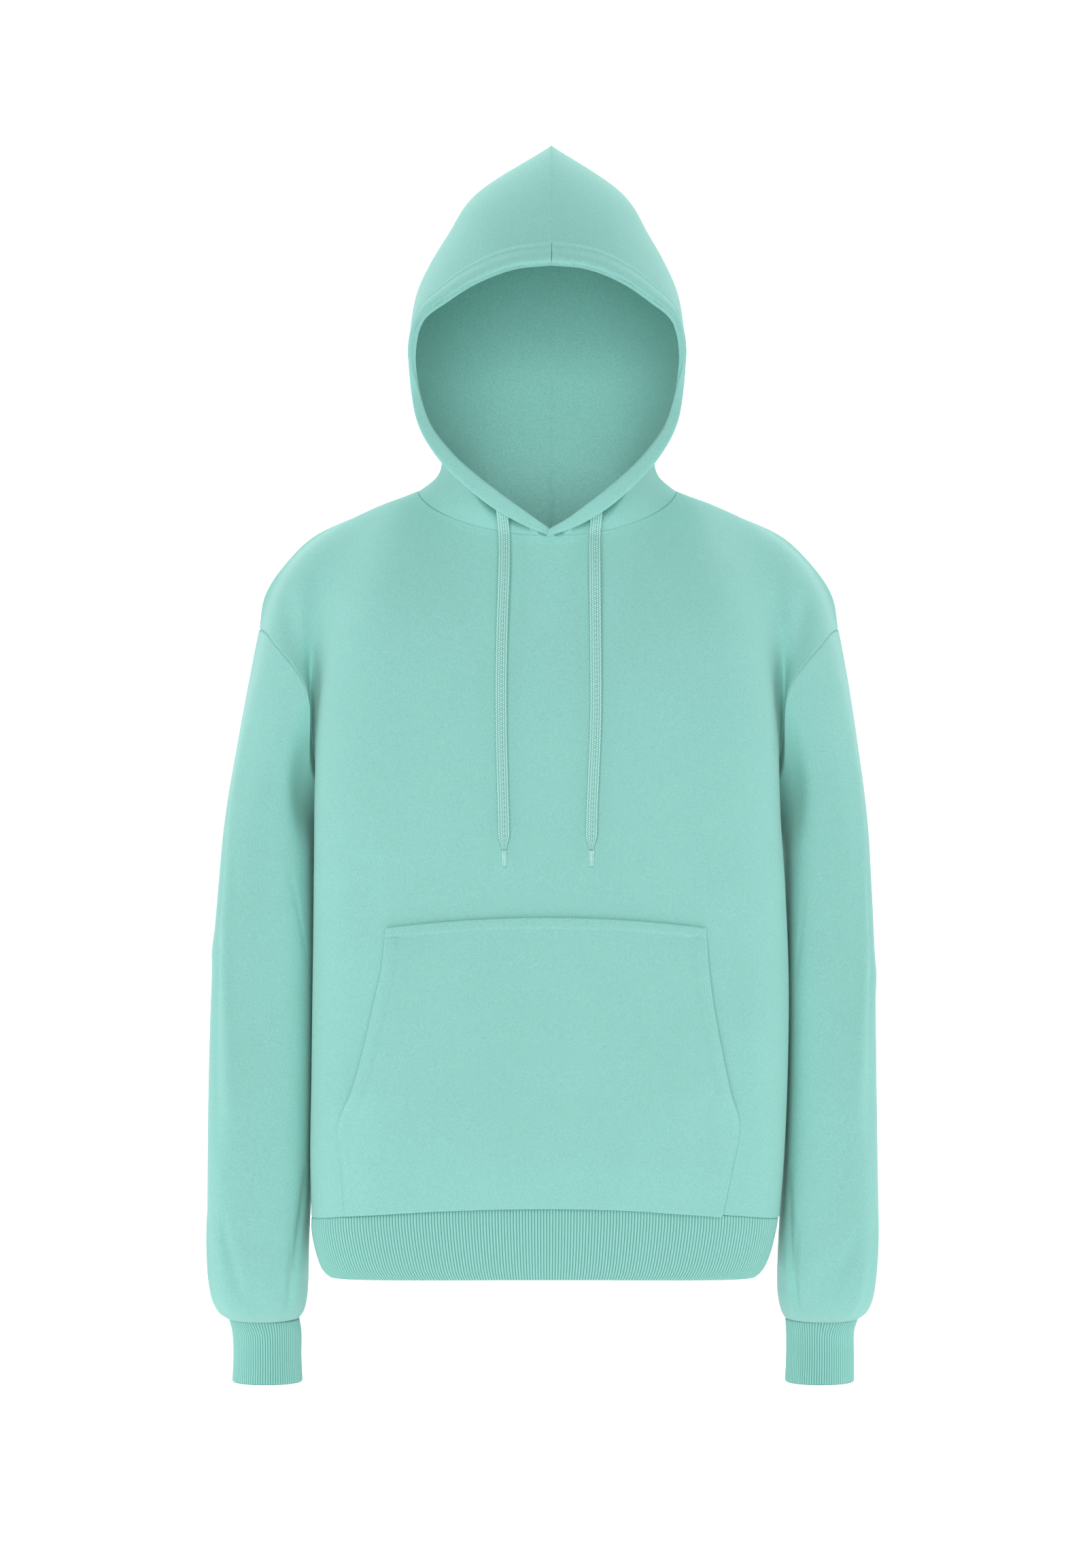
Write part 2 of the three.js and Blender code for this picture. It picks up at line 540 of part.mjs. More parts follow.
// The place on the front panel's outer surface that has this x and z.
const FRONT_GRID = panelGrid("front");
function onFront(x, z) {
  for (let i = 0; i < FRONT_GRID.length - 1; i += 1) {
    for (let j = 0; j < FRONT_GRID[0].length - 1; j += 1) {
      const [a, b, c, d] = [FRONT_GRID[i][j], FRONT_GRID[i][j + 1], FRONT_GRID[i + 1][j + 1], FRONT_GRID[i + 1][j]];
      for (const [p, q, r] of [[a, b, c], [a, c, d]]) {
        const area = (q.x - p.x) * (r.z - p.z) - (r.x - p.x) * (q.z - p.z);
        const v = ((x - p.x) * (r.z - p.z) - (r.x - p.x) * (z - p.z)) / area;
        const w = ((q.x - p.x) * (z - p.z) - (x - p.x) * (q.z - p.z)) / area;
        if (v >= -1e-6 && w >= -1e-6 && v + w <= 1 + 1e-6) {
          return point(x, p.y + v * (q.y - p.y) + w * (r.y - p.y), z);
        }
      }
    }
  }
  throw new Error(`nothing of the front at ${x}, ${z}`);
}

// A ring point of a sleeve or cuff section, turn 0 outside, 90 degrees front, 180 inside.
function armRing(table, z, turn, sign, grow = 0) {
  const name = sign < 0 ? "Left" : "Right";
  const out = read(table, "z", z, "out" + name);
  const inn = read(table, "z", z, "in" + name);
  const [front, back] = [read(table, "z", z, "front"), read(table, "z", z, "back")];
  const angle = (turn * Math.PI) / 180;
  const p = turn < 180 ? 2 / read(table, "z", z, "square") : 1;
  const x = (out + inn) / 2 + ((out - inn) / 2 + grow) * power(Math.cos(angle), p);
  return point(sign * x, (front + back) / 2 - ((back - front) / 2 + grow) * power(Math.sin(angle), p), z);
}

// The head of a sleeve leaves the armhole outwards and turns down into the arm.
function sleeveHeadPoint(turn, sign, k) {
  const top = SLEEVE[0].z;
  const [from, to] = [armhole(turn, sign), armRing(SLEEVE, top, turn, sign)];
  const drop = from.z - to.z;
  const under = Math.sin((turn * Math.PI) / 360) ** 2;
  const start = point(sign * mix(0.2, 0.95, under), 0, -1).multiplyScalar(drop);
  const end = armRing(SLEEVE, top - 1, turn, sign).sub(to).multiplyScalar(drop);
  const at = from.clone().lerp(to, smooth(k));
  at.addScaledVector(start, k * (1 - k) ** 2).addScaledVector(end, -k * k * (1 - k));
  return at.addScaledVector(acrossArmhole(turn, sign), (SEAM_GAP + UNDERARM_EASE * under) * (1 - k));
}

const SLEEVE_MM_PER_DEGREE = 1.2;
const SLEEVE_FOLDS_FLAT = SLEEVE_FOLDS.map(({ turn1, turn2, ...fold }) => ({
  x1: turn1 * SLEEVE_MM_PER_DEGREE,
  x2: turn2 * SLEEVE_MM_PER_DEGREE,
  ...fold,
}));

function sleeve(sign) {
  const columns = 2 * YOKE_ROWS;
  const [top, bottom] = [SLEEVE[0].z, SLEEVE[SLEEVE.length - 1].z];
  const turns = Array.from({ length: columns }, (_, j) => (360 * j) / columns);
  const grid = [];
  for (let i = 0; i < SLEEVE_HEAD_ROWS; i += 1) {
    grid.push(turns.map((turn) => sleeveHeadPoint(turn, sign, i / SLEEVE_HEAD_ROWS)));
  }
  for (let i = 0; i <= SLEEVE_ROWS; i += 1) {
    const z = mix(top, bottom, (i / SLEEVE_ROWS) ** 0.8);
    grid.push(turns.map((turn) => armRing(SLEEVE, z, turn, sign)));
  }
  const face = (normal, i, j) => {
    if (i === 0) normal.copy(armholeFace(turns[j], sign));
  };
  grid.slice(1, -1).forEach((row) => {
    row.forEach((at, j) => {
      const lift = foldsAt(SLEEVE_FOLDS_FLAT, turns[j] * SLEEVE_MM_PER_DEGREE, at.z);
      const angle = (turns[j] * Math.PI) / 180;
      at.add(point(sign * Math.cos(angle) * lift, -Math.sin(angle) * lift, 0));
    });
  });
  return wall(grid, { around: true, face: sign < 0 ? turned(face) : face });
}

// The left pieces' grids wind the other way, so their own normals point in.
function turned(face) {
  return (normal, i, j) => {
    normal.negate();
    if (face) face(normal, i, j);
  };
}

function hood(sign) {
  const top = HOOD.length - 1;
  const levels = Array.from({ length: HOOD_ROWS + 1 }, (_, i) => top * (1 - (1 - i / HOOD_ROWS) ** 1.25));
  const grid = levels.map((level, i) => {
    const lift = i ? 0 : SEAM_GAP;
    return hoodRow(level).map((p) => point(sign * Math.max(p.x, SEAM_GAP / 2), p.y, p.z + lift));
  });
  const last = grid[0].length - 1;
  // At the middle seam the cut face is upright, so the two halves never cross.
  const face = (normal, i, j) => {
    if (i === 0) normal.copy(neckFace(grid[0][j]));
    if (i === HOOD_ROWS || j === last || (i === 0 && j === 0)) normal.setX(0).normalize();
  };
  const swell = (i, j) => {
    const proud = smooth(clamp01((levels[i] - CASING_FROM) / 2));
    return (CASING_SWELLS[j] || 0) * CASING_SWELL * proud;
  };
  return wall(grid, { face: sign < 0 ? turned(face) : face, swell });
}

// The pocket follows the front, stands off it in the middle and lies on it where it's sewn.
function pocket() {
  const columns = 20;
  const rows = 12;
  const [top, bottom] = [POCKET[0].z, POCKET[POCKET.length - 1].z];
  const grid = [];
  for (let i = 0; i <= rows; i += 1) {
    const z = mix(top, bottom, i / rows);
    const middle = Math.sin(Math.PI * clamp01((top - z) / (top - bottom))) ** 0.6;
    grid.push(
      Array.from({ length: columns + 1 }, (_, j) => {
        const u = (2 * j) / columns - 1;
        const x = u * read(POCKET, "z", z, u < 0 ? "left" : "right");
        const height = z + read(POCKET, "z", z, "rise") * (1 - u * u);
        const held = clamp01(read(POCKET, "z", z, "sewn")) * Math.abs(u) ** 5;
        const room = mix(POCKET_ROOM, POCKET_GAPE, u * u) * middle * (1 - held);
        const at = onFront(x, height);
        const run = onFront(x + 0.5, height).sub(onFront(x - 0.5, height));
        return at.addScaledVector(point(run.y, -run.x, 0).normalize(), WALL + 1).add(point(0, -room, 0));
      }),
    );
  }
  return wall(grid, { face: (normal) => normal.negate() });
}

function hemRib() {
  const heights = [-643.5, -660, -682, -696];
  const ring = (z, share, grow) => sectionPoint(HEM_RIB, z, 2 * Math.PI * share, grow);
  return ribbedTube(ring, heights, HEM_RIBS);
}

function cuff(sign) {
  const heights = [-738.6, -750, -772, -794];
  const ring = (z, share, grow) => armRing(CUFF, z, 360 * share, sign, grow);
  return ribbedTube(ring, heights, CUFF_RIBS);
}

// A tape's middle line. Its width stays level, so the tape lies flat on the chest.
class TapePath extends THREE.CatmullRomCurve3 {
  computeFrenetFrames(steps) {
    const tangents = Array.from({ length: steps + 1 }, (_, i) => this.getTangentAt(i / steps));
    const binormals = tangents.map((t) => point(1, 0, 0).addScaledVector(t, -t.x).normalize());
    const normals = binormals.map((b, i) => b.clone().cross(tangents[i]));
    return { tangents, normals, binormals };
  }
}

function drawcord(route) {
  const [half, thin] = [TAPE_WIDTH / 2, TAPE_THICK / 2];
  const flat = new THREE.Shape([
    [thin, half - 1],
    [thin * 0.4, half],
    [-thin * 0.4, half],
    [-thin, half - 1],
    [-thin, 1 - half],
    [-thin * 0.4, -half],
    [thin * 0.4, -half],
    [thin, 1 - half],
  ].map(([x, y]) => new THREE.Vector2(x, y)));
  const extrudePath = new TapePath(route.map(({ x, y, z }) => point(x, y, z)));
  return new THREE.ExtrudeGeometry(flat, { extrudePath, steps: 24, bevelEnabled: false });
}

function aglet(route) {
  const end = route[route.length - 1];
  const middle = point(end.x, end.y - 0.6, end.z - 0.3 - AGLET_LENGTH / 2);
  const geometry = new THREE.CylinderGeometry(AGLET_RADIUS, AGLET_RADIUS * 0.8, AGLET_LENGTH, 10);
  return geometry.rotateX(Math.PI / 2).translate(middle.x, middle.y, middle.z);
}

const hoodie = new THREE.Group();

function add(name, geometry, finish) {
  const mesh = new THREE.Mesh(geometry, new THREE.MeshStandardMaterial(finish));
  mesh.name = name;
  hoodie.add(mesh);
}

add("front", panel("front"), FLEECE);
add("back", panel("back"), FLEECE);
add("pocket", pocket(), FLEECE);
add("hem_rib", hemRib(), RIB);
for (const [side, sign] of [["left", -1], ["right", 1]]) {
  add("sleeve_" + side, sleeve(sign), FLEECE);
  add("cuff_" + side, cuff(sign), RIB);
  add("hood_" + side, hood(sign), FLEECE);
}
for (const [side, route] of [["left", CORD_LEFT], ["right", CORD_RIGHT]]) {
  add("drawcord_" + side, drawcord(route), TAPE);
  add("aglet_" + side, aglet(route), AGLET);
}

export default hoodie;
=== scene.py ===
"""A pullover hoodie in mint brushed fleece, filled out as if worn, with its hood up."""
import bpy
import numpy as np
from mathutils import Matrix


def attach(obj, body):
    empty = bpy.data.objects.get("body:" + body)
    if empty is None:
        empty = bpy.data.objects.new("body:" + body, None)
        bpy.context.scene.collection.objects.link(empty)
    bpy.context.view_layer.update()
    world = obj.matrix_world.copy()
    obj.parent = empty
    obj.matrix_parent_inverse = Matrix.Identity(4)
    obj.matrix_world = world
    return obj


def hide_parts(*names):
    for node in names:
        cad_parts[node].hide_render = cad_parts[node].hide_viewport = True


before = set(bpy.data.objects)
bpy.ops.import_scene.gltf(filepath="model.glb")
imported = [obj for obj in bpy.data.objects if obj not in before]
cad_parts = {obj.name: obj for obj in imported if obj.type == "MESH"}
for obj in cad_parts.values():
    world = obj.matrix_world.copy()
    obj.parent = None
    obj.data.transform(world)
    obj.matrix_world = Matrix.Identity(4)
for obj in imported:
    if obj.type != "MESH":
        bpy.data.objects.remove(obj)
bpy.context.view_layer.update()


# The camera stands level with the garment's middle, far enough away that its sides hardly
# converge. Left and right are those of this view, and lengths are in millimetres.
MM = 0.001
PHOTO_PIXELS_HIGH = 2306
MM_PER_PIXEL = 0.6
CAMERA_AWAY = 4000
CAMERA_X = -3.6
CAMERA_Z = -268

camera_data = bpy.data.cameras.new("camera")
camera_data.sensor_width = 36
camera_data.lens = 36 * CAMERA_AWAY / (PHOTO_PIXELS_HIGH * MM_PER_PIXEL)
camera_data.clip_end = 50
camera = bpy.data.objects.new("camera", camera_data)
camera.location = (CAMERA_X * MM, -CAMERA_AWAY * MM, CAMERA_Z * MM)
camera.rotation_euler = (np.pi / 2, 0, 0)
bpy.context.collection.objects.link(camera)
bpy.context.scene.camera = camera


# Drawcord ends: a flat cotton cord, 10 mm wide, knitted round a core in a few lengthwise
# plaits. Each comes out under the hood's casing and hangs on the chest by its own weight.
TAPE_WIDTH = 10
TAPE_THICK = 2
PLAITS = 5
PLAIT_PITCH = 2
PLAIT_DEPTH = 0.8
TAPER = 13
TAPER_TO = 0.4
CORD_LEFT = [
    (-38.6, -119.4, -32), (-38, -116.4, -37), (-37.3, -111.8, -44), (-36.6, -107.6, -52),
    (-36.2, -111, -64), (-36.4, -116.8, -84), (-37.2, -120.4, -108), (-38, -123.5, -132),
    (-38.6, -126.5, -158), (-38.9, -129, -184), (-38.8, -131, -210), (-38.4, -132.6, -236),
    (-37.7, -133.7, -262), (-36.9, -134.3, -290), (-36.2, -135.2, -324),
]
CORD_RIGHT = [
    (43.6, -118.6, -29), (43, -113.8, -35), (42.3, -108.4, -43), (41.6, -106, -52),
    (41.3, -110.4, -64), (41.4, -116.6, -84), (41.6, -120.4, -108), (41.8, -123.5, -132),
    (42, -126.5, -158), (42.2, -129, -184), (42, -131, -210), (41.2, -132.6, -236),
    (40, -133.7, -262), (38.8, -134.3, -290), (38, -135.2, -324),
]


def srgb(code):
    """A hex colour, turned from sRGB to the linear values that the shader takes."""
    value = np.array([int(code[k:k + 2], 16) for k in (1, 3, 5)]) / 255
    linear = np.where(value <= 0.04045, value / 12.92, ((value + 0.055) / 1.055) ** 2.4)
    return (*linear.tolist(), 1.0)


def node(tree, kind, links=None, **settings):
    """Adds a shader node. links maps an input to a value or to an output that feeds it."""
    made = tree.nodes.new(kind)
    for name, value in settings.items():
        setattr(made, name, value)
    for name, source in (links or {}).items():
        if isinstance(source, bpy.types.NodeSocket):
            tree.links.new(source, made.inputs[name])
        else:
            made.inputs[name].default_value = source
    return made


def new_material(name):
    """An empty node material: its tree, with the output already there."""
    material = bpy.data.materials.new(name)
    material.use_nodes = True
    material.node_tree.nodes.clear()
    return material, material.node_tree


def finish_material(tree, shader):
    node(tree, "ShaderNodeOutputMaterial", {"Surface": shader.outputs[0]})


def even(points, count):
    """Resamples each row of points, count of them, evenly spaced along its length."""
    steps = np.linalg.norm(np.diff(points, axis=-2), axis=-1)
    along = np.concatenate([np.zeros_like(steps[..., :1]), np.cumsum(steps, axis=-1)], axis=-1)
    rows = points.reshape(-1, *points.shape[-2:])
    lengths = along.reshape(-1, along.shape[-1])
    made = np.empty((len(rows), count, 3))
    for row, length, out in zip(rows, lengths, made):
        at = np.linspace(0, length[-1], count)
        for axis in range(3):
            out[:, axis] = np.interp(at, length, row[:, axis])
    return made.reshape(*points.shape[:-2], count, 3)


def spline(points, count):
    """A smooth line through given points: a Catmull-Rom curve, resampled evenly."""
    p = np.array(points, float)
    p = np.vstack([2 * p[0] - p[1], p, 2 * p[-1] - p[-2]])
    t = np.linspace(0, 1, 24, endpoint=False)[:, None]
    a, b, c, d = (p[k:len(p) - 3 + k, None] for k in range(4))
    curve = 0.5 * (2 * b + (c - a) * t + (2 * a - 5 * b + 4 * c - d) * t ** 2
                   + (3 * b - a - 3 * c + d) * t ** 3)
    return even(np.vstack([curve.reshape(-1, 3), p[-2:-1]]), count)


def unit(vectors):
    return vectors / np.maximum(np.linalg.norm(vectors, axis=-1, keepdims=True), 1e-9)


def grid_mesh(name, points, uv, around=False, caps=False, turned=False):
    """A sheet of four-sided faces on a grid of points in mm. uv has one column more where
    the grid closes around itself. caps closes a tube's two ends with one face each, and
    turned turns the faces round."""
    rows, columns = points.shape[:2]
    vertex = np.arange(rows * columns).reshape(rows, columns)
    if around:
        vertex = np.hstack([vertex, vertex[:, :1]])
    corners = [(0, 0), (1, 0), (1, 1), (0, 1)] if turned else [(0, 0), (0, 1), (1, 1), (1, 0)]
    height, width = vertex.shape[0] - 1, vertex.shape[1] - 1
    faces = np.stack([vertex[i:i + height, j:j + width] for i, j in corners], -1).reshape(-1, 4)
    face_uv = np.stack([uv[i:i + height, j:j + width] for i, j in corners], 2).reshape(-1, 2)
    ends = [vertex[0, :-1][::-1].tolist(), vertex[-1, :-1].tolist()] if caps else []
    mesh = bpy.data.meshes.new(name)
    mesh.from_pydata((points.reshape(-1, 3) * MM).tolist(), [], faces.tolist() + ends)
    layer = mesh.uv_layers.new(name="UVMap")
    flat = np.zeros((len(mesh.loops), 2))
    flat[:len(face_uv)] = face_uv
    layer.data.foreach_set("uv", flat.ravel())
    mesh.shade_smooth()
    return mesh


def place(name, mesh, *materials):
    piece = bpy.data.objects.new(name, mesh)
    for material in materials:
        mesh.materials.append(material)
    bpy.context.collection.objects.link(piece)
    return piece


def cotton_tape():
    """Matt cotton, its colour set by the attribute that the plaits' height is kept in: a shade lighter
    than the fleece where the plaits stand up, as painted highlight, and darker in the grooves between them, as painted
    shade."""
    material, tree = new_material("knitted_cotton_tape")
    height = node(tree, "ShaderNodeAttribute", attribute_name="plait_height")
    place_at = node(tree, "ShaderNodeTexCoord")
    fibre = node(tree, "ShaderNodeTexNoise", {"Vector": place_at.outputs["Object"], "Scale": 2600,
                                              "Detail": 2})
    # Painted shade and highlight: grooves take the darker colour and plait tops the lighter one, mixed by plait
    # height.
    tone = node(tree, "ShaderNodeMix", {"Factor": height.outputs["Fac"], "A": srgb("#3f877b"),
                                        "B": srgb("#bbefe7")}, data_type="RGBA")
    bump = node(tree, "ShaderNodeBump", {"Height": fibre.outputs["Fac"], "Strength": 0.4,
                                         "Distance": 0.0003})
    cloth = node(tree, "ShaderNodeBsdfPrincipled", {"Base Color": tone.outputs["Result"],
                                                    "Roughness": 0.85, "Sheen Weight": 0.2,
                                                    "Normal": bump.outputs["Normal"]})
    finish_material(tree, cloth)
    return material


def aglet_plastic():
    """Clear heat-shrunk tube with the cotton's end showing through: glossy, faintly mint."""
    material, tree = new_material("clear_shrink_tube")
    tube = node(tree, "ShaderNodeBsdfPrincipled", {"Base Color": srgb("#a9ddd6"), "Roughness": 0.18,
                                                   "Transmission Weight": 0.35, "IOR": 1.5})
    finish_material(tree, tube)
    return material


def drawcord(name, route):
    """A flat tube along the route. Its section is a rounded oblong whose width stays level
    and narrows at the tip, and its surface carries plaits: rounded columns that lean to and
    fro down the length."""
    length = np.linalg.norm(np.diff(spline(route, 400), axis=0), axis=1).sum()
    rows = int(length / PLAIT_PITCH * 6)
    middle = spline(route, rows)
    along = unit(np.gradient(middle, axis=0))
    across = unit(np.array([1.0, 0, 0]) - along * along[:, :1])
    out = np.cross(across, along)
    turn = np.linspace(0, 2 * np.pi, 60, endpoint=False)
    side = np.sign(np.cos(turn)) * np.abs(np.cos(turn)) ** 0.75 * TAPE_WIDTH / 2
    face = np.sign(np.sin(turn)) * np.abs(np.sin(turn)) ** 0.6 * TAPE_THICK / 2
    place_down = np.linspace(0, length, rows)[:, None]
    lean = 0.5 * np.abs((place_down / PLAIT_PITCH) % 2 - 1)
    column = (side / TAPE_WIDTH + 0.5) * PLAITS
    plait = np.abs(np.sin(np.pi * (column + lean * 0.35)))
    loop = 0.5 + 0.5 * np.cos(2 * np.pi * place_down / PLAIT_PITCH + np.pi * np.floor(column))
    height = plait ** 0.7 * (0.55 + 0.45 * loop)
    swell = 1 - PLAIT_DEPTH * (1 - height) * (np.abs(face) / (TAPE_THICK / 2))
    near_tip = np.clip((place_down - length + TAPER) / TAPER, 0, 1)
    narrow = 1 - (1 - TAPER_TO) * near_tip ** 2 * (3 - 2 * near_tip)
    points = (middle[:, None] + across[:, None] * (side * narrow)[..., None]
              + out[:, None] * (face * swell)[..., None])
    uv = np.stack(np.broadcast_arrays(np.linspace(0, 22, 61), place_down), -1)
    mesh = grid_mesh(name, points, uv, around=True, caps=True)
    shade = mesh.attributes.new("plait_height", "FLOAT", "POINT")
    shade.data.foreach_set("value", height.ravel())
    return mesh, middle * MM, length * MM


def aglet(name, route):
    """A slightly tapered tube below the tape's end, turned from a profile of radii."""
    profile = np.array([(0, 0.2), (1.7, 0.3), (2.3, 1.4), (2.1, 3), (1.9, 9), (1.7, 13), (1.3, 14), (0, 14.2)])
    radius, down = spline(np.c_[profile, profile[:, 0] * 0], 40)[:, :2].T
    turn = np.linspace(0, 2 * np.pi, 24, endpoint=False)
    x, y, z = np.array(route[-1]) + (0, -0.6, -0.1)
    points = np.stack(np.broadcast_arrays(x + np.outer(radius, np.cos(turn)),
                                          y + 0.62 * np.outer(radius, np.sin(turn)),
                                          (z - down)[:, None]), -1)
    uv = np.stack(np.meshgrid(np.arange(25), down), -1)
    return grid_mesh(name, points[1:-1], uv[1:-1], around=True, caps=True)


TAPE = cotton_tape()
AGLET = aglet_plastic()
for side, route in (("left", CORD_LEFT), ("right", CORD_RIGHT)):
    tape_mesh, tape_path, tape_length = drawcord("tape_" + side, route)
    tape = place("tape_" + side, tape_mesh, TAPE)
    tip = place("tip_" + side, aglet("tip_" + side, route), AGLET)
    for piece, cad, slot in ((tape, "drawcord_" + side, "tape"), (tip, "aglet_" + side, "aglet")):
        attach(piece, "root")
        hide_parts(cad)


# Front and back: brushed-back fleece, 2.2 mm thick, cut with dropped shoulders. They are
# sewn at the shoulders and sides, with the seam allowances inside, and blouse over the rib.
WALL = 2.2
WIDEST_Y = -60
SIDE_SEAM_Y = 12
FRONT_POWER = 3.4
BACK_POWER = 2
RIGHT_SHOULDER_LONGER = 4
NECK_SHARE_FRONT = 0.64
NECK_SHARE_BACK = 0.55
SEAM_ROLL = 1.5
SKEW = 4.3
SKEW_FADES = 150
THROAT = 30


def table(columns, *rows):
    """A short table: each named column as an array over its rows."""
    return dict(zip(columns.split(), np.array(rows, float).T))


BODY = table("z left right front back arch",
             (-643, 204, 202, 128, 128, 13),
             (-590, 205, 206, 136, 128, 8),
             (-520, 204, 209, 138, 122, 0),
             (-440, 203, 210, 136, 116, 0),
             (-360, 202, 207, 134, 118, 0),
             (-292, 202, 203, 132, 122, 0))
SHOULDER = table("share x z",
                 (0, 114, -9), (0.25, 160, -28.5), (0.5, 206, -49), (0.7, 235, -78),
                 (0.85, 250, -103), (1, 254, -131))
ARMHOLE = table("turn x y z",
                (0, 254, 5, -131), (45, 240, -48, -143), (90, 207, -74, -189),
                (135, 205, -46, -256), (180, 188, 12, -292), (225, 196, 62, -258),
                (270, 212, 92, -195), (315, 241, 62, -142), (360, 254, 5, -131))
HOOD = table("level edge_x edge_y edge_z wide wide_y wide_z back_y back_z",
             (0, 0, -108, -54, 114, 5, -9, 78, 12),
             (1, 18, -116, -40, 99, 5, 3, 83, 30),
             (2, 43, -118, -22, 94, 6, 16, 91, 50),
             (3, 65, -115, -3, 96, 8, 30, 101, 72),
             (4, 87, -108, 20, 106, 10, 48, 112, 96),
             (5, 103, -100, 43, 117, 10, 70, 122, 122),
             (6, 113, -92, 75, 122, 8, 99, 132, 152),
             (7, 117, -88, 105, 121, 5, 129, 138, 182),
             (8, 110, -87, 133, 116, 8, 163, 141, 208),
             (9, 89, -89, 150, 105, 12, 190, 140, 224),
             (10, 63, -92, 166, 89, 16, 218, 138, 238),
             (11, 32, -96, 177, 64, 20, 256, 134, 250),
             (12, 0, -100, 180, 0, 26, 298, 128, 262))
HOOD_TOP = 12

# Folds run from one x, z to another, bowed sideways. A negative depth is a groove.
FRONT_FOLDS = table("x1 z1 x2 z2 bow wide depth",
                    (-213, -80, -197, -210, 4, 9, 3),
                    (-229, -96, -209, -200, 4, 9, -3),
                    (212, -80, 201, -200, -3, 9, 3),
                    (228, -96, 213, -190, -3, 9, -3),
                    (114, -400, 108, -655, 0, 18, 2.5),
                    (68, -410, 74, -655, 0, 24, -2),
                    (-122, -400, -142, -655, 4, 24, 2.5),
                    (152, -370, 172, -630, 0, 18, -2.5),
                    (-146, -330, -172, -540, 0, 18, -2))
BACK_FOLDS = table("x1 z1 x2 z2 bow wide depth",
                   (-150, -60, -170, -420, 10, 22, 3),
                   (150, -60, 172, -400, -10, 22, 3),
                   (-60, -420, -40, -660, 6, 26, 2.5),
                   (70, -440, 60, -660, -6, 26, 2),
                   (-120, -30, 120, -30, -14, 16, 1.6))


def read(rows, key, at, column):
    """A table's column at values of its key: a cubic through the rows, level with the chord
    of its two neighbours at each."""
    order = np.argsort(rows[key])
    xs, ys = rows[key][order], rows[column][order]
    last = len(xs) - 1
    index = np.arange(last + 1)
    low, high = np.maximum(index - 1, 0), np.minimum(index + 1, last)
    slope = (ys[high] - ys[low]) / (xs[high] - xs[low])
    at = np.asarray(at, float)
    k = np.clip(np.searchsorted(xs, at, side="right") - 1, 0, last - 1)
    span = xs[k + 1] - xs[k]
    t = np.clip((at - xs[k]) / span, 0, 1)
    bend = t * (1 - t) * span * ((1 - t) * slope[k] - t * slope[k + 1])
    return ys[k] + (ys[k + 1] - ys[k]) * smooth(t) + bend


def smooth(t):
    return t * t * (3 - 2 * t)


def mix(a, b, t):
    return a + (b - a) * t


def xyz(x, y, z):
    return np.stack(np.broadcast_arrays(x, y, z), -1).astype(float)


def lift_of(folds, x, z):
    """How far folds lift a place. Across, each falls off as a bell curve of the distance to
    its bowed line, and it fades out at both ends."""
    lift = np.zeros(np.broadcast(x, z).shape)
    for x1, z1, x2, z2, bow, wide, depth in zip(*folds.values()):
        length = np.hypot(x2 - x1, z2 - z1)
        run_x, run_z = (x2 - x1) / length, (z2 - z1) / length
        t = np.clip(((x - x1) * run_x + (z - z1) * run_z) / length, 0, 1)
        off = (x - x1) * run_z - (z - z1) * run_x - bow * np.sin(np.pi * t)
        lift += depth * np.sqrt(np.abs(np.sin(np.pi * t))) * np.exp(-(off / wide) ** 2)
    return lift


def section(rows, z, turn):
    """A level section: turn 0 is the middle of the front, half a turn the middle of the
    back. x and y go by powers of sine and cosine, squarer in front than behind."""
    sin, cos = np.sin(turn), np.cos(turn)
    power = np.where(cos > 0, 2 / FRONT_POWER, 2 / BACK_POWER)
    half = np.where(sin < 0, read(rows, "z", z, "left"), read(rows, "z", z, "right"))
    deep = np.where(cos > 0, read(rows, "z", z, "front") + WIDEST_Y, read(rows, "z", z, "back") - WIDEST_Y)
    x = half * np.sign(sin) * np.abs(sin) ** power
    y = WIDEST_Y - deep * np.sign(cos) * np.abs(cos) ** power
    return xyz(x, y, z + read(rows, "z", z, "arch") * (1 - (x / half) ** 2))


def hood_edge_turn(level):
    """The turn at which a hood row meets the face edge: minus the arc cosine of the edge's
    share of the half width."""
    wide = np.maximum(read(HOOD, "level", level, "wide"), 1e-6)
    return -np.arccos(np.clip(read(HOOD, "level", level, "edge_x") / wide, 0, 1))


def hood_point(level, turn):
    """A hood half: from the face edge (negative turns) past the widest point (0) to the back
    seam (a quarter turn). x goes by the cosine and y by the sine; z by powers of the way."""
    get = {name: read(HOOD, "level", level, name) for name in HOOD if name != "level"}
    sin, cos = np.sin(turn), np.cos(turn)
    reach = np.minimum(np.sin(hood_edge_turn(level)), -1e-6)
    share = np.clip(sin / reach, 0, 1)
    bow = mix(1.2, 2.3, level / HOOD_TOP)
    rear = np.clip(sin, 0, 1)
    y = np.where(turn < 0, mix(get["wide_y"], get["edge_y"], share), mix(get["wide_y"], get["back_y"], rear))
    z = np.where(turn < 0, mix(get["wide_z"], get["edge_z"], share ** bow),
                 mix(get["wide_z"], get["back_z"], rear ** 1.8))
    return xyz(get["wide"] * cos, y, z)


def armhole(turn, sign):
    """The armhole seam: turn 0 at the shoulder's tip, 90 in front, 180 under the arm."""
    longer = RIGHT_SHOULDER_LONGER * np.cos(np.radians(turn) / 2) ** 2 if sign > 0 else 0
    x, y, z = (read(ARMHOLE, "turn", turn, name) for name in "xyz")
    return xyz(sign * (x + longer), y, z)


def side_seam_turn(z):
    """Where a section crosses the side seam: a quarter turn and the arc sine behind it."""
    deep = read(BODY, "z", z, "back") - WIDEST_Y
    return np.pi / 2 + np.arcsin((SIDE_SEAM_Y - WIDEST_Y) / deep)


def skewed(points):
    """The hood hangs a little to the right: its middle lies SKEW mm over, and its sides not."""
    over = SKEW * (1 - smooth(np.clip(np.abs(points[..., 0]) / SKEW_FADES, 0, 1)))
    return points + xyz(1, 0, 0) * over[..., None]


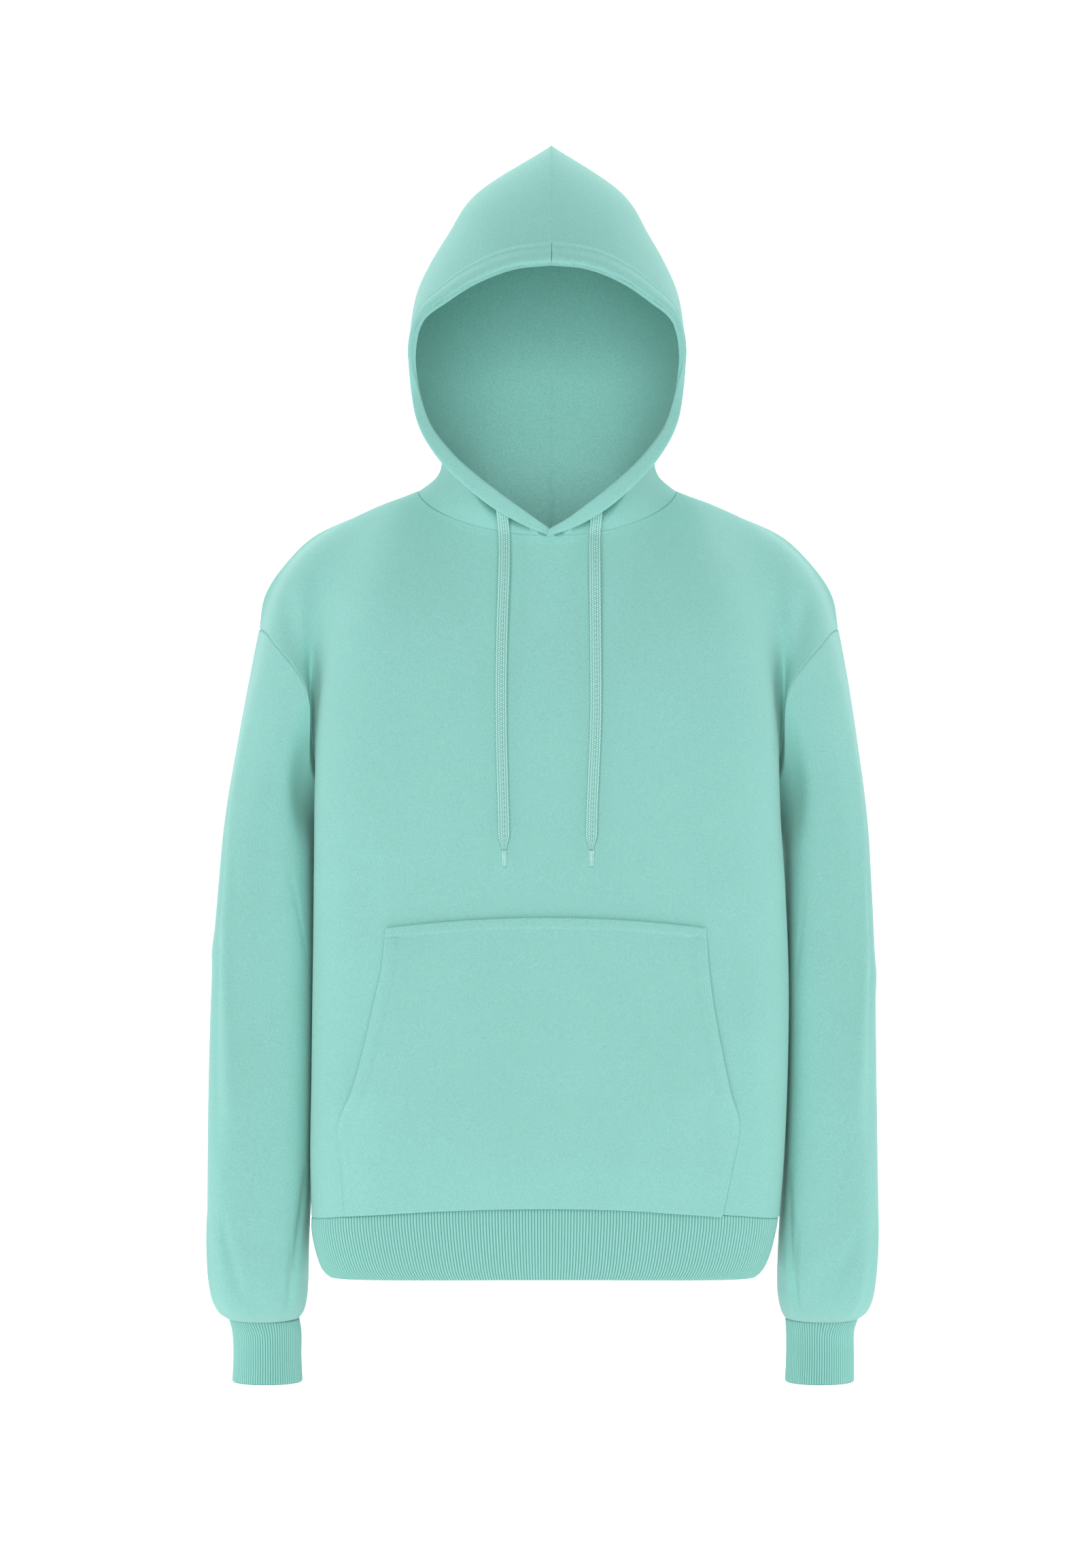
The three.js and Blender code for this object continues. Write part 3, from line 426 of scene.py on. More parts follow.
def top_edge(front, columns):
    """The top edge of a panel from tip to tip: shoulder seam, neckline, shoulder seam."""
    neck_share = NECK_SHARE_FRONT if front else NECK_SHARE_BACK
    turn = np.linspace(-np.pi / 2, 0, 200) if front else np.linspace(np.pi / 2, 0, 200)
    neck = even(hood_point(np.zeros(200), turn), 200)
    share = np.linspace(-1, 1, columns)
    sign, share = np.where(share < 0, -1, 1), np.abs(share)
    at_neck = np.clip(share / neck_share, 0, 1) * 199
    x, y, z = (np.interp(at_neck, np.arange(200), neck[:, axis]) for axis in range(3))
    on_shoulder = np.clip((share - neck_share) / (1 - neck_share), 0, 1)
    longer = np.where(sign > 0, RIGHT_SHOULDER_LONGER * on_shoulder, 0)
    past = share > neck_share
    x = np.where(past, read(SHOULDER, "share", on_shoulder, "x") + longer, x)
    z = np.where(past, read(SHOULDER, "share", on_shoulder, "z"), z)
    return skewed(xyz(sign * x, np.where(past, 5, y), z))


def body_row(front, z, columns):
    """A row of a panel below the underarm, from side seam to side seam, evenly spaced."""
    seam = side_seam_turn(z)[:, None]
    share = np.linspace(-1, 1, 481)
    turn = seam * share if front else np.pi + (np.pi - seam) * -share
    return even(section(BODY, z[:, None], turn), columns)


def relax(points, times, held):
    """Eases a grid: each inner point moves towards the middle of its four neighbours, by as
    much as held leaves free."""
    free = (1 - held)[1:-1, 1:-1, None] * 0.5
    for _ in range(times):
        middle = (points[:-2, 1:-1] + points[2:, 1:-1] + points[1:-1, :-2] + points[1:-1, 2:]) / 4
        points[1:-1, 1:-1] += (middle - points[1:-1, 1:-1]) * free
    return points


def panel(front, columns, body_rows, yoke_rows):
    """Front or back, from the hem seam up. Above the underarm a column leaves the chest
    upright, rolls over the shoulder by powers of sine and cosine, and the outer columns
    bend to the armhole."""
    hem, underarm = BODY["z"][0], BODY["z"][-1]
    z = np.linspace(hem, underarm, body_rows, endpoint=False)
    lower = body_row(front, z, columns)
    low = body_row(front, np.array([underarm]), columns)
    s = np.linspace(0, 1, yoke_rows)[:, None]
    u = np.linspace(-1, 1, columns)[None]
    top = top_edge(front, columns)[None]
    around = smooth(np.clip(np.abs(u) / (NECK_SHARE_FRONT if front else NECK_SHARE_BACK), 0, 1))

    def rise(start, end, around):
        up = mix(s, np.sin(s * np.pi / 2) ** 0.95, around)
        back = mix(1 - s ** 1.8, np.cos(s * np.pi / 2) ** 0.85, around)
        return xyz(mix(start[..., 0], end[..., 0], s ** 1.4), mix(end[..., 1], start[..., 1], back),
                   mix(start[..., 2], end[..., 2], up))

    yoke = rise(low, top, around)
    turn = 180 * (1 - s) if front else 180 + 180 * s
    for sign, end in ((-1, 0), (1, -1)):
        pull = armhole(turn, sign) - rise(low[:, [end]], top[:, [end]], 1)
        weight = np.where(u * sign > 0, np.abs(u) ** mix(10, 4, s), 0)
        yoke = yoke + pull * weight[..., None]
    grid = np.vstack([lower, yoke])
    held = np.ones(grid.shape[:2])
    held[body_rows - 14:] = (1 - smooth(np.linspace(0, 1, yoke_rows + 14)) ** 0.3)[:, None]
    grid = relax(grid, 60, held)
    inside = np.minimum(1, 12 * (1 - np.abs(u))) * np.minimum(1, np.linspace(0, 12, len(grid)))[:, None]
    lift = lift_of(FRONT_FOLDS if front else BACK_FOLDS, grid[..., 0], grid[..., 2]) * inside
    grid[..., 1] += lift * (-1 if front else 1)
    return grid


def surface_normals(points, around=False):
    """Outward directions of a grid: across times along, turned away from its middle."""
    across = np.roll(points, -1, 1) - np.roll(points, 1, 1) if around else np.gradient(points, axis=1)
    normals = unit(np.cross(across, np.gradient(points, axis=0)))
    outward = np.sum(normals * (points - points.mean((0, 1))))
    return normals * (1 if outward > 0 else -1)


def finer(points, axis, first=True, last=True):
    """The grid again with three more lines beside its first and last ones."""
    n = points.shape[axis]
    parts = [[0, 0.25, 0.5, 0.75] if first else [0], np.arange(1, n - 1),
             [n - 1.75, n - 1.5, n - 1.25, n - 1] if last else [n - 1]]
    at = np.concatenate(parts)
    low = np.minimum(at.astype(int), n - 2)
    part = np.expand_dims(at - low, [k for k in range(points.ndim) if k != axis])
    return mix(np.take(points, low, axis), np.take(points, low + 1, axis), part)


def rolled(points, edges, around=False, roll=SEAM_ROLL, top=1):
    """Turns the cloth in along its sewn edges, where the seam pulls it down, by a quarter
    circle of the roll's radius. edges name the first and last rows and columns, and top is
    the share of the roll along the last row."""
    points = finer(points, 0, "first_row" in edges, "last_row" in edges)
    if not around:
        points = finer(points, 1, "first_column" in edges, "last_column" in edges)
    sunk = np.zeros(points.shape[:2])
    for edge in edges:
        axis = 0 if edge.endswith("row") else 1
        grid = np.flip(points, axis) if edge.startswith("last") else points
        steps = np.linalg.norm(np.diff(grid, axis=axis), axis=-1)
        away = np.insert(np.cumsum(steps, axis), 0, 0, axis)
        near = np.clip(1 - away / roll, 0, 1)
        depth = roll * (1 - np.sqrt(1 - near ** 2))
        depth = depth * top if edge == "last_row" else depth
        sunk = np.maximum(sunk, np.flip(depth, axis) if edge.startswith("last") else depth)
    return points - surface_normals(points, around) * np.minimum(sunk, roll * 0.85)[..., None]


def arc_uv(points, around=False):
    """UV in mm: the way along the middle row, and along the middle column."""
    rows, columns = points.shape[:2]
    row = np.vstack([points[rows // 2], points[rows // 2, :1]]) if around else points[rows // 2]
    u = np.r_[0, np.cumsum(np.linalg.norm(np.diff(row, axis=0), axis=1))]
    v = np.r_[0, np.cumsum(np.linalg.norm(np.diff(points[:, columns // 2], axis=0), axis=1))]
    return np.stack(np.meshgrid(u, v), -1)


def fleece(name, light, dark, nap):
    """Brushed fleece: a fine cotton knit whose surface is teased into a soft nap. It is
    matt, speckled by fibres 1 to 3 mm across, drawn coarser than real to show, and a little
    lighter and darker over areas some centimetres wide. The nap lights up where it is seen
    edge on."""
    material, tree = new_material(name)
    where = node(tree, "ShaderNodeTexCoord").outputs["Object"]
    fibres = node(tree, "ShaderNodeTexNoise", {"Vector": where, "Scale": 760, "Detail": 3,
                                               "Roughness": 0.75})
    tufts = node(tree, "ShaderNodeTexNoise", {"Vector": where, "Scale": 300, "Detail": 2})
    drift = node(tree, "ShaderNodeTexNoise", {"Vector": where, "Scale": 14, "Detail": 3})
    speckle = node(tree, "ShaderNodeMapRange", {"Value": fibres.outputs["Fac"], "From Min": 0.32,
                                                "From Max": 0.68})
    tone = node(tree, "ShaderNodeMix", {"Factor": speckle.outputs["Result"], "A": srgb(dark),
                                        "B": srgb(light)}, data_type="RGBA")
    shade = node(tree, "ShaderNodeMapRange", {"Value": drift.outputs["Fac"], "From Min": 0.3,
                                              "From Max": 0.7, "To Min": 0.985, "To Max": 1.015})
    faded = node(tree, "ShaderNodeHueSaturation", {"Color": tone.outputs[2],
                                                   "Value": shade.outputs["Result"]})
    fine = node(tree, "ShaderNodeBump", {"Height": fibres.outputs["Fac"], "Strength": nap,
                                         "Distance": 0.0006})
    soft = node(tree, "ShaderNodeBump", {"Height": tufts.outputs["Fac"], "Strength": nap * 0.6,
                                         "Distance": 0.0009, "Normal": fine.outputs["Normal"]})
    cloth = node(tree, "ShaderNodeBsdfPrincipled", {"Base Color": faded.outputs["Color"],
                                                    "Roughness": 0.95, "Sheen Weight": 0.4,
                                                    "Sheen Roughness": 0.55,
                                                    "Sheen Tint": srgb("#d8fff8"),
                                                    "Specular IOR Level": 0.15,
                                                    "Normal": soft.outputs["Normal"]})
    finish_material(tree, cloth)
    return material


FLEECE = fleece("brushed_fleece", "#94cfc6", "#85c1b8", 0.45)
# Painted light: the inside is drawn lighter than the outside, to brighten the shaded inside of the hood.
FLEECE_INSIDE = fleece("fleece_inside_painted_light", "#a6e4db", "#8eccc3", 0.9)


def cloth(name, points, thick=WALL, around=False, weight=None, outside=FLEECE, rounding=0.6):
    """A cloth piece: the outer surface as a grid, with its wall given inwards by Solidify and
    its cut or folded edges rounded by a small Bevel. weight is each point's share of thick."""
    across = np.roll(points, -1, 1) - points if around else np.gradient(points, axis=1)
    facing = np.sum(np.cross(across, np.gradient(points, axis=0)) * surface_normals(points, around))
    mesh = grid_mesh(name, points, arc_uv(points, around), around, turned=facing < 0)
    piece = place(name, mesh, outside, FLEECE_INSIDE)
    wall = piece.modifiers.new("wall", "SOLIDIFY")
    wall.thickness = thick * MM
    wall.offset = -1
    wall.material_offset = 1
    wall.material_offset_rim = 0
    if weight is not None:
        group = piece.vertex_groups.new(name="thickness")
        share = weight.ravel().round(2)
        for value in np.unique(share):
            group.add(np.nonzero(share == value)[0].tolist(), float(value), "REPLACE")
        wall.vertex_group = "thickness"
    edge = piece.modifiers.new("edge", "BEVEL")
    edge.width = rounding * MM
    edge.segments = 2
    edge.limit_method = "ANGLE"
    edge.angle_limit = 1.2
    return piece


def dress(piece, cad):
    """Attaches a cloth piece to the root and hides the part of model.glb that it stands for."""
    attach(piece, "root")
    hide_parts(cad)


FRONT = panel(True, 150, 90, 80)
BACK = panel(False, 120, 70, 70)
ALL_EDGES = ("first_row", "last_row", "first_column", "last_column")
for name, points in (("front", FRONT), ("back", BACK)):
    across = np.abs(finer(points, 1)[-1, :, 0])
    flat = np.where(across > THROAT, mix(0.35, 1, smooth(np.clip((across - 113) / 12, 0, 1))), 1)
    dress(cloth(name + "_panel", rolled(points, ALL_EDGES, top=flat)), name)


# Sleeves: one piece of fleece each, sewn to the dropped armhole. A fold runs down the outer
# front of each, and the cloth blouses and creases over the cuff it is gathered into.
SLEEVE_MM_PER_DEGREE = 1.2
SLEEVE = table("z out_left in_left out_right in_right front back square",
               (-330, 286, 203, 284, 209.5, -76, 108, 4),
               (-420, 292, 203, 287, 210, -82, 96, 5),
               (-510, 295, 204, 288, 210, -84, 84, 5),
               (-600, 296, 206, 289, 208, -85, 72, 5),
               (-670, 296, 209, 290, 204, -82, 60, 4.5),
               (-712, 294, 210, 287, 203, -76, 52, 3.6),
               (-730, 289, 213, 282, 206, -66, 46, 2.6),
               (-738, 281, 218, 275, 210, -50, 38, 2))
SLEEVE_FOLDS = table("turn1 z1 turn2 z2 bow wide depth",
                     (42, -215, 80, -560, 0, 13, 3.5),
                     (28, -230, 62, -590, 0, 13, -3.5),
                     (150, -600, 112, -765, 0, 11, -4))
CREASES_LEFT = table("turn1 z1 turn2 z2 bow wide depth",
                     (103, -335, 140, -425, 3, 3, -1.2), (70, -640, 96, -745, 3, 7, -2.2),
                     (118, -660, 128, -750, 2, 5, -1.8), (20, -640, 40, -745, 4, 9, 2),
                     (92, -668, 84, -750, 0, 8, 1.8), (210, -330, 300, -420, 10, 14, 3),
                     (200, -400, 310, -500, 8, 14, -3), (0, -420, 60, -380, 8, 14, 1.5))
CREASES_RIGHT = table("turn1 z1 turn2 z2 bow wide depth",
                      (112, -360, 132, -440, 3, 4, -1), (76, -650, 100, -748, -3, 7, -2.2),
                      (118, -650, 130, -750, 2, 5, -2), (30, -640, 46, -745, -4, 9, 2),
                      (64, -670, 66, -750, 0, 8, 1.8), (215, -340, 300, -440, 10, 14, 3),
                      (200, -410, 310, -520, 8, 14, -3), (6, -440, 64, -400, 8, 14, 1.5))


def arm_ring(rows, z, turn, sign):
    """A level ring round an arm, turn 0 outside, 90 degrees in front: an ellipse whose front
    half is a superellipse, squarer where square is over 2."""
    name = "left" if sign < 0 else "right"
    out, inner = read(rows, "z", z, "out_" + name), read(rows, "z", z, "in_" + name)
    front, back = read(rows, "z", z, "front"), read(rows, "z", z, "back")
    sin, cos = np.sin(np.radians(turn)), np.cos(np.radians(turn))
    bend = np.where(sin > 0, 2 / read(rows, "z", z, "square"), 1)
    x = (out + inner) / 2 + (out - inner) / 2 * np.sign(cos) * np.abs(cos) ** bend
    y = (front + back) / 2 - (back - front) / 2 * np.sign(sin) * np.abs(sin) ** bend
    return xyz(sign * x, y, z)


def sleeve(sign, columns, head_rows, arm_rows):
    """The head leaves the armhole outwards and turns down, by a cubic between the two
    directions; below it come level rings down to the cuff seam. Folds lift it outwards."""
    turn = np.linspace(0, 360, columns, endpoint=False)[None]
    turn = turn - 11 * np.sin(np.radians(4 * turn)) * (turn < 180)
    top, bottom = SLEEVE["z"][0], SLEEVE["z"][-1]
    k = np.linspace(0, 1, head_rows, endpoint=False)[:, None, None]
    start, end = armhole(turn, sign), arm_ring(SLEEVE, top + 0 * turn, turn, sign)
    drop = (start - end)[..., 2:]
    under = np.sin(np.radians(turn) / 2)[..., None] ** 2
    leave = np.concatenate([sign * mix(0.2, 0.95, under), 0 * under, 0 * under - 1], -1) * drop
    arrive = (arm_ring(SLEEVE, top - 1 + 0 * turn, turn, sign) - end) * drop
    head = mix(start, end, smooth(k)) + leave * k * (1 - k) ** 2 - arrive * k * k * (1 - k)
    z = mix(top, bottom, np.linspace(0, 1, arm_rows)[:, None] ** 0.8)
    arm = arm_ring(SLEEVE, z + 0 * turn, turn + 0 * z, sign)
    grid = np.vstack([head, arm])
    lift = 0
    for folds in (SLEEVE_FOLDS, CREASES_LEFT if sign < 0 else CREASES_RIGHT):
        flat = {key: value * (SLEEVE_MM_PER_DEGREE if key.startswith("turn") else 1)
                for key, value in folds.items()}
        lift = lift + lift_of(flat, turn * SLEEVE_MM_PER_DEGREE + 0 * grid[..., 0], grid[..., 2])
    inside = np.minimum(1, np.linspace(0, 10, len(grid)))[:, None]
    inside = inside * np.minimum(1, np.linspace(25, 0, len(grid)))[:, None]
    out = xyz(sign * np.cos(np.radians(turn)), -np.sin(np.radians(turn)), 0)
    return grid + out * (lift * inside)[..., None]


for side, sign in (("left", -1), ("right", 1)):
    arm = sleeve(sign, 140, 44, 110)
    dressed = rolled(arm, ("first_row", "last_row"), around=True, roll=1.3)
    dress(cloth("sleeve_cloth_" + side, dressed, around=True), "sleeve_" + side)


# Hood: two halves of single fleece sewn together over the top and down the back. The face
# edge is turned in as a casing for the drawcord and twin-stitched over the top. Lower down
# it rolls forward into a flat band that stands proud of the neck, and the two bands cross
# at the throat, above the neck seam.
CASING_WIDTH = 21
CASING_SWELL = 3.2
CASING_ROWS = (16.6, 20.4)
NECK_ROWS = (2.4, 7.2)
BAND_COLUMNS = 50
RIM_COLUMNS = 8
RIM_DEEP = 3.5
BAND_ENDS = (5.2, 7.2)
HOLLOW = 24
CROSSING = 3
FACING_IN = 2.6
FACING_FRONT = 6
FACING_BACK = 62
FACING_ROWS = 12
BAND = table("level wide thick inward ahead",
             (0, 5.6, 2.6, 4.5, 3), (0.5, 8, 3.4, 2.8, 3.4), (1, 10.6, 4, 2.1, 4),
             (1.8, 13.8, 4.8, 2.5, 4.5), (2.5, 14.2, 5, 2.2, 4.5), (3.7, 12.8, 5, 0.9, 3),
             (5, 10, 5, 1.4, 1), (6.5, 7.2, 5, 2, 0), (12, 7, 5, 2, 0))


def rounded(t):
    """Sine or cosine pressed towards a square wave, which makes a circle a superellipse."""
    return np.sign(t) * np.abs(t) ** 0.5


def band(level, edge):
    """The face edge lower down: a flat tube along it. Its section is a superellipse, from its
    root behind the edge forward over the edge, across its face and back to the root. The
    face is square to the view, and points down at the throat, where the right one crosses."""
    get = {name: read(BAND, "level", level, name)[:, None] for name in BAND if name != "level"}
    run = unit(np.gradient(edge, axis=0) * (1, 0, 1))
    beside = xyz(run[:, 2], 0, -run[:, 0])
    across = unit(mix(xyz(0, 0, -1), beside, smooth(np.clip(level / 0.7, 0, 1))[:, None]))
    angle = np.radians(np.linspace(-40, 290, 300))
    over = get["wide"] * (1 - rounded(np.cos(angle))) / 2 - get["inward"]
    back = get["thick"] * (1 - rounded(np.sin(angle))) / 2 - get["ahead"]
    points = edge[:, None] + across[:, None] * over[..., None] + xyz(0, 1, 0) * back[..., None]
    return even(points, BAND_COLUMNS)


def hood(sign, rows, columns):
    """Rows from the neckline to the top seam, and columns from the face edge to the back seam.
    Over the top, the casing follows the hood's surface, swells by a quarter circle at its
    fold and dips at its stitches. Lower down, the band takes its place, and the neck hollows
    behind it."""
    share = np.linspace(0, 1, rows)
    level = HOOD_TOP * mix(share, 0.5 - 0.5 * np.cos(np.pi * share), 0.6)
    turn = mix(hood_edge_turn(level)[:, None], np.pi / 2, np.linspace(0, 1, 400)[None])
    dense = hood_point(level[:, None] + 0 * turn, turn)
    steps = np.linalg.norm(np.diff(dense, axis=1), axis=-1)
    length = np.insert(np.cumsum(steps, 1), 0, 0, 1)
    upper = smooth(np.clip((level - BAND_ENDS[0]) / (BAND_ENDS[1] - BAND_ENDS[0]), 0, 1))[:, None]
    casing = np.r_[np.zeros(RIM_COLUMNS), np.linspace(0, CASING_WIDTH * 1.45, BAND_COLUMNS - RIM_COLUMNS)]
    root = mix(1, CASING_WIDTH * 1.5, upper)
    rest = mix(root, length[:, -1:], np.linspace(0, 1, columns - BAND_COLUMNS)[None] ** 1.2)
    away = np.hstack([np.broadcast_to(casing, (rows, BAND_COLUMNS)), rest])
    points = np.empty((rows, columns, 3))
    for i in range(rows):
        for axis in range(3):
            points[i, :, axis] = np.interp(away[i], length[i], dense[i, :, axis])
    points = relax(points, 12, np.zeros((rows, columns)))
    outward = unit(np.cross(dense[:, 8] - dense[:, 0], np.gradient(dense[:, 0], axis=0)))
    outward = outward * np.sign(outward[:, :1])
    rim = np.linspace(-RIM_DEEP, 0, RIM_COLUMNS)[None, :, None]
    points[:, :RIM_COLUMNS] = dense[:, :1] + outward[:, None] * rim
    low = band(level, dense[:, 0])
    if sign > 0:
        cross = np.clip(1 - level, 0, 1)[:, None, None]
        low = low - xyz(CROSSING, 0.7 * CROSSING, 0) * cross
    points[:, :BAND_COLUMNS] = mix(low, points[:, :BAND_COLUMNS], upper[..., None])
    behind = away[:, BAND_COLUMNS:]
    thick = read(BAND, "level", level, "thick")[:, None] * np.exp(-(behind / 14) ** 2)
    hollow = HOLLOW * smooth(np.clip(behind / 10, 0, 1)) * (1 - smooth(np.clip((behind - 13) / 38, 0, 1)))
    sunk = (thick + hollow) * (1 - upper) * smooth(np.clip(level / 2, 0, 1))[:, None]
    points[:, BAND_COLUMNS:, 1] += sunk
    points[..., 0] = np.maximum(points[..., 0], 0.02 - CROSSING * (sign > 0) * (level < 1)[:, None])
    fold = np.sqrt(1 - (1 - np.clip(away / 6, 0, 1)) ** 2)
    fall = 1 - smooth(np.clip((away - CASING_ROWS[1]) / 2.4, 0, 1))
    stitched = sum(np.exp(-((away - row) / 1.1) ** 2) for row in CASING_ROWS)
    plump = mix(1, 0.55, smooth(np.clip((away - 8) / 8, 0, 1)))
    swell = (CASING_SWELL * fold * fall * plump - 0.5 * stitched) * upper
    normals = surface_normals(points)
    outer = skewed((points + normals * swell[..., None]) * (sign, 1, 1))
    wall = (WALL + swell) / (WALL + CASING_SWELL)
    wall[:, :BAND_COLUMNS] = mix(0.2, wall[:, :BAND_COLUMNS], upper)
    wall[:, :RIM_COLUMNS] = 0.2
    return outer, np.clip(wall, 0.2, 1), level


def faced(points, weight):
    """Adds a facing that hangs inside from the neckline, short in front and longer behind.
    Under the band it narrows to the band's root."""
    edge = points[0].copy()
    edge[:BAND_COLUMNS] = mix(edge[BAND_COLUMNS], edge[:BAND_COLUMNS], 0.15)
    behind = smooth(np.clip((edge[:, 1] + 40) / 90, 0, 1))
    inward = -unit(edge * (1, 1, 0)) * FACING_IN
    drop = mix(FACING_FRONT, FACING_BACK, behind)[:, None] * (0, 0, 1)
    facing = [edge + inward * min(1, 3 * k) - drop * k for k in np.linspace(1, 0, FACING_ROWS, endpoint=False)]
    thin = np.full((FACING_ROWS, points.shape[1]), WALL / (WALL + CASING_SWELL))
    return np.vstack([facing, points]), np.vstack([thin, weight])


def cotton_thread():
    """Polyester-cotton sewing thread, a shade lighter than the cloth and slightly glossy."""
    material, tree = new_material("sewing_thread")
    thread = node(tree, "ShaderNodeBsdfPrincipled", {"Base Color": srgb("#9ad7cf"), "Roughness": 0.6,
                                                     "Sheen Weight": 0.2})
    finish_material(tree, thread)
    return material


def inset(points, distance, edge):
    """The line at a distance in from an edge of a grid, and the outward directions there."""
    grid = np.concatenate([points, surface_normals(points)], -1)
    grid = grid if edge.endswith("row") else grid.swapaxes(0, 1)
    grid = grid[::-1] if edge.startswith("last") else grid
    steps = np.linalg.norm(np.diff(grid[..., :3], axis=0), axis=-1)
    away = np.insert(np.cumsum(steps, 0), 0, 0, 0)
    low = np.clip((away < distance).sum(0) - 1, 0, len(grid) - 2)
    column = np.arange(grid.shape[1])
    part = (distance - away[low, column]) / (away[low + 1, column] - away[low, column])
    line = mix(grid[low, column], grid[low + 1, column], part[:, None])
    return line[:, :3], unit(line[:, 3:])


def at_lengths(line, normals, where):
    """Points and directions of a line at distances along it."""
    along = np.r_[0, np.cumsum(np.linalg.norm(np.diff(line, axis=0), axis=1))]
    both = np.hstack([line, normals])
    found = np.stack([np.interp(where, along, both[:, axis]) for axis in range(6)], -1)
    return found[:, :3], found[:, 3:]


def running(line, pitch, length):
    """Stitches end to end along a line: where each starts and ends, and its up direction."""
    total = np.linalg.norm(np.diff(line[0], axis=0), axis=1).sum()
    middle = (np.arange(int(total / pitch)) + 0.5) * pitch
    start, up = at_lengths(*line, middle - length / 2)
    return start, at_lengths(*line, middle + length / 2)[0], up


def bars(outer, inner, pitch):
    """Stitches from one line straight across to another, a pitch apart."""
    total = np.linalg.norm(np.diff(outer[0], axis=0), axis=1).sum()
    share = (np.arange(int(total / pitch)) + 0.5) * pitch / total
    start, up = at_lengths(*outer, share * total)
    across = np.linalg.norm(np.diff(inner[0], axis=0), axis=1).sum()
    return start, at_lengths(*inner, share * across)[0], up


def sew(name, rows, thick=0.42, sunk=0.05):
    """Threads as short six-sided rods that taper and dip at both ends, joined in one mesh."""
    start, end, up = (np.concatenate(parts) for parts in zip(*rows))
    along = np.array([-1, -0.75, 0, 0.75, 1])
    width = np.array([0.45, 0.9, 1, 0.9, 0.45]) * thick / 2
    rise = thick * (0.35 - 0.75 * along ** 4) - sunk
    angle = np.linspace(0, 2 * np.pi, 6, endpoint=False)
    side = unit(np.cross(end - start, up))
    middle = (start + end)[:, None] / 2 + (end - start)[:, None] / 2 * along[:, None]
    middle = middle + up[:, None] * rise[:, None]
    ring = side[:, None] * np.cos(angle)[:, None] + up[:, None] * np.sin(angle)[:, None]
    points = middle[:, :, None] + ring[:, None] * width[:, None, None]
    count, rings, sides = points.shape[:3]
    index = np.arange(rings * sides).reshape(rings, sides)
    after = np.roll(index, -1, 1)
    quads = np.stack([index[:-1], after[:-1], after[1:], index[1:]], -1).reshape(-1, 4)
    quads = (quads[None] + (np.arange(count) * rings * sides)[:, None, None]).reshape(-1, 4)
    caps = np.stack([index[0][::-1], index[-1]])
    caps = (caps[None] + (np.arange(count) * rings * sides)[:, None, None]).reshape(-1, 6)
    mesh = bpy.data.meshes.new(name)
    mesh.from_pydata((points.reshape(-1, 3) * MM).tolist(), [], quads.tolist() + caps.tolist())
    mesh.shade_smooth()
    piece = place(name, mesh, THREAD)
    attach(piece, "root")
    return piece


THREAD = cotton_thread()
casing_thread = []
for side, sign in (("left", -1), ("right", 1)):
    shell, share, level = hood(sign, 150, 130)
    full, full_share = faced(shell, share)
    half = cloth("hood_cloth_" + side, full, WALL + CASING_SWELL, weight=full_share, rounding=0.3)
    dress(half, "hood_" + side)
    for row in CASING_ROWS:
        line, up = inset(shell[level > BAND_ENDS[1], RIM_COLUMNS:], row, "first_column")
        casing_thread.append(running((line, up), 2.8, 2.1))
sew("casing_stitches", casing_thread, sunk=0.1)
neck = np.abs(np.linspace(-1, 1, FRONT.shape[1])) < NECK_SHARE_FRONT
neck_lines = [inset(FRONT, row, "last_row") for row in NECK_ROWS]
sew("neck_stitches", [running((line[neck], up[neck]), 2.8, 2.0) for line, up in neck_lines], sunk=0.15)


# Kangaroo pocket: one layer of fleece sewn to the front along its top and lower sides and
# into the hem seam. Its curved hand openings are turned under and coverstitched: bars
# towards the edge, two chains inside them.
POCKET_ROOM = 3
POCKET_GAPE = 4
POCKET_TOP_ROW = 7.8
BAND_WIDTH = 10.5
POCKET = table("z left right rise sewn",
               (-391, 137, 135.5, 9, 1), (-408, 138.5, 136.7, 7.6, 0), (-424, 140, 137.7, 6.5, 0),
               (-452, 146, 141, 5, 0), (-476, 151.2, 145, 3.5, 0), (-502, 157.5, 150, 2, 0),
               (-532, 166.5, 156.5, 0.5, 0), (-560, 177.5, 164, 1, 1), (-600, 174.5, 157, 3, 1),
               (-638.5, 172, 149.5, 8.2, 1))


def on_front(x, z):
    """The front's outer surface below the underarm at x and z: the section's formula, solved
    for y, and its folds."""
    half = np.where(x < 0, read(BODY, "z", z, "left"), read(BODY, "z", z, "right"))
    deep = read(BODY, "z", z, "front") + WIDEST_Y
    share = np.clip(np.abs(x / half), 0, 0.999)
    y = WIDEST_Y - deep * (1 - share ** FRONT_POWER) ** (1 / FRONT_POWER)
    return xyz(x, y - lift_of(FRONT_FOLDS, x, z), z)


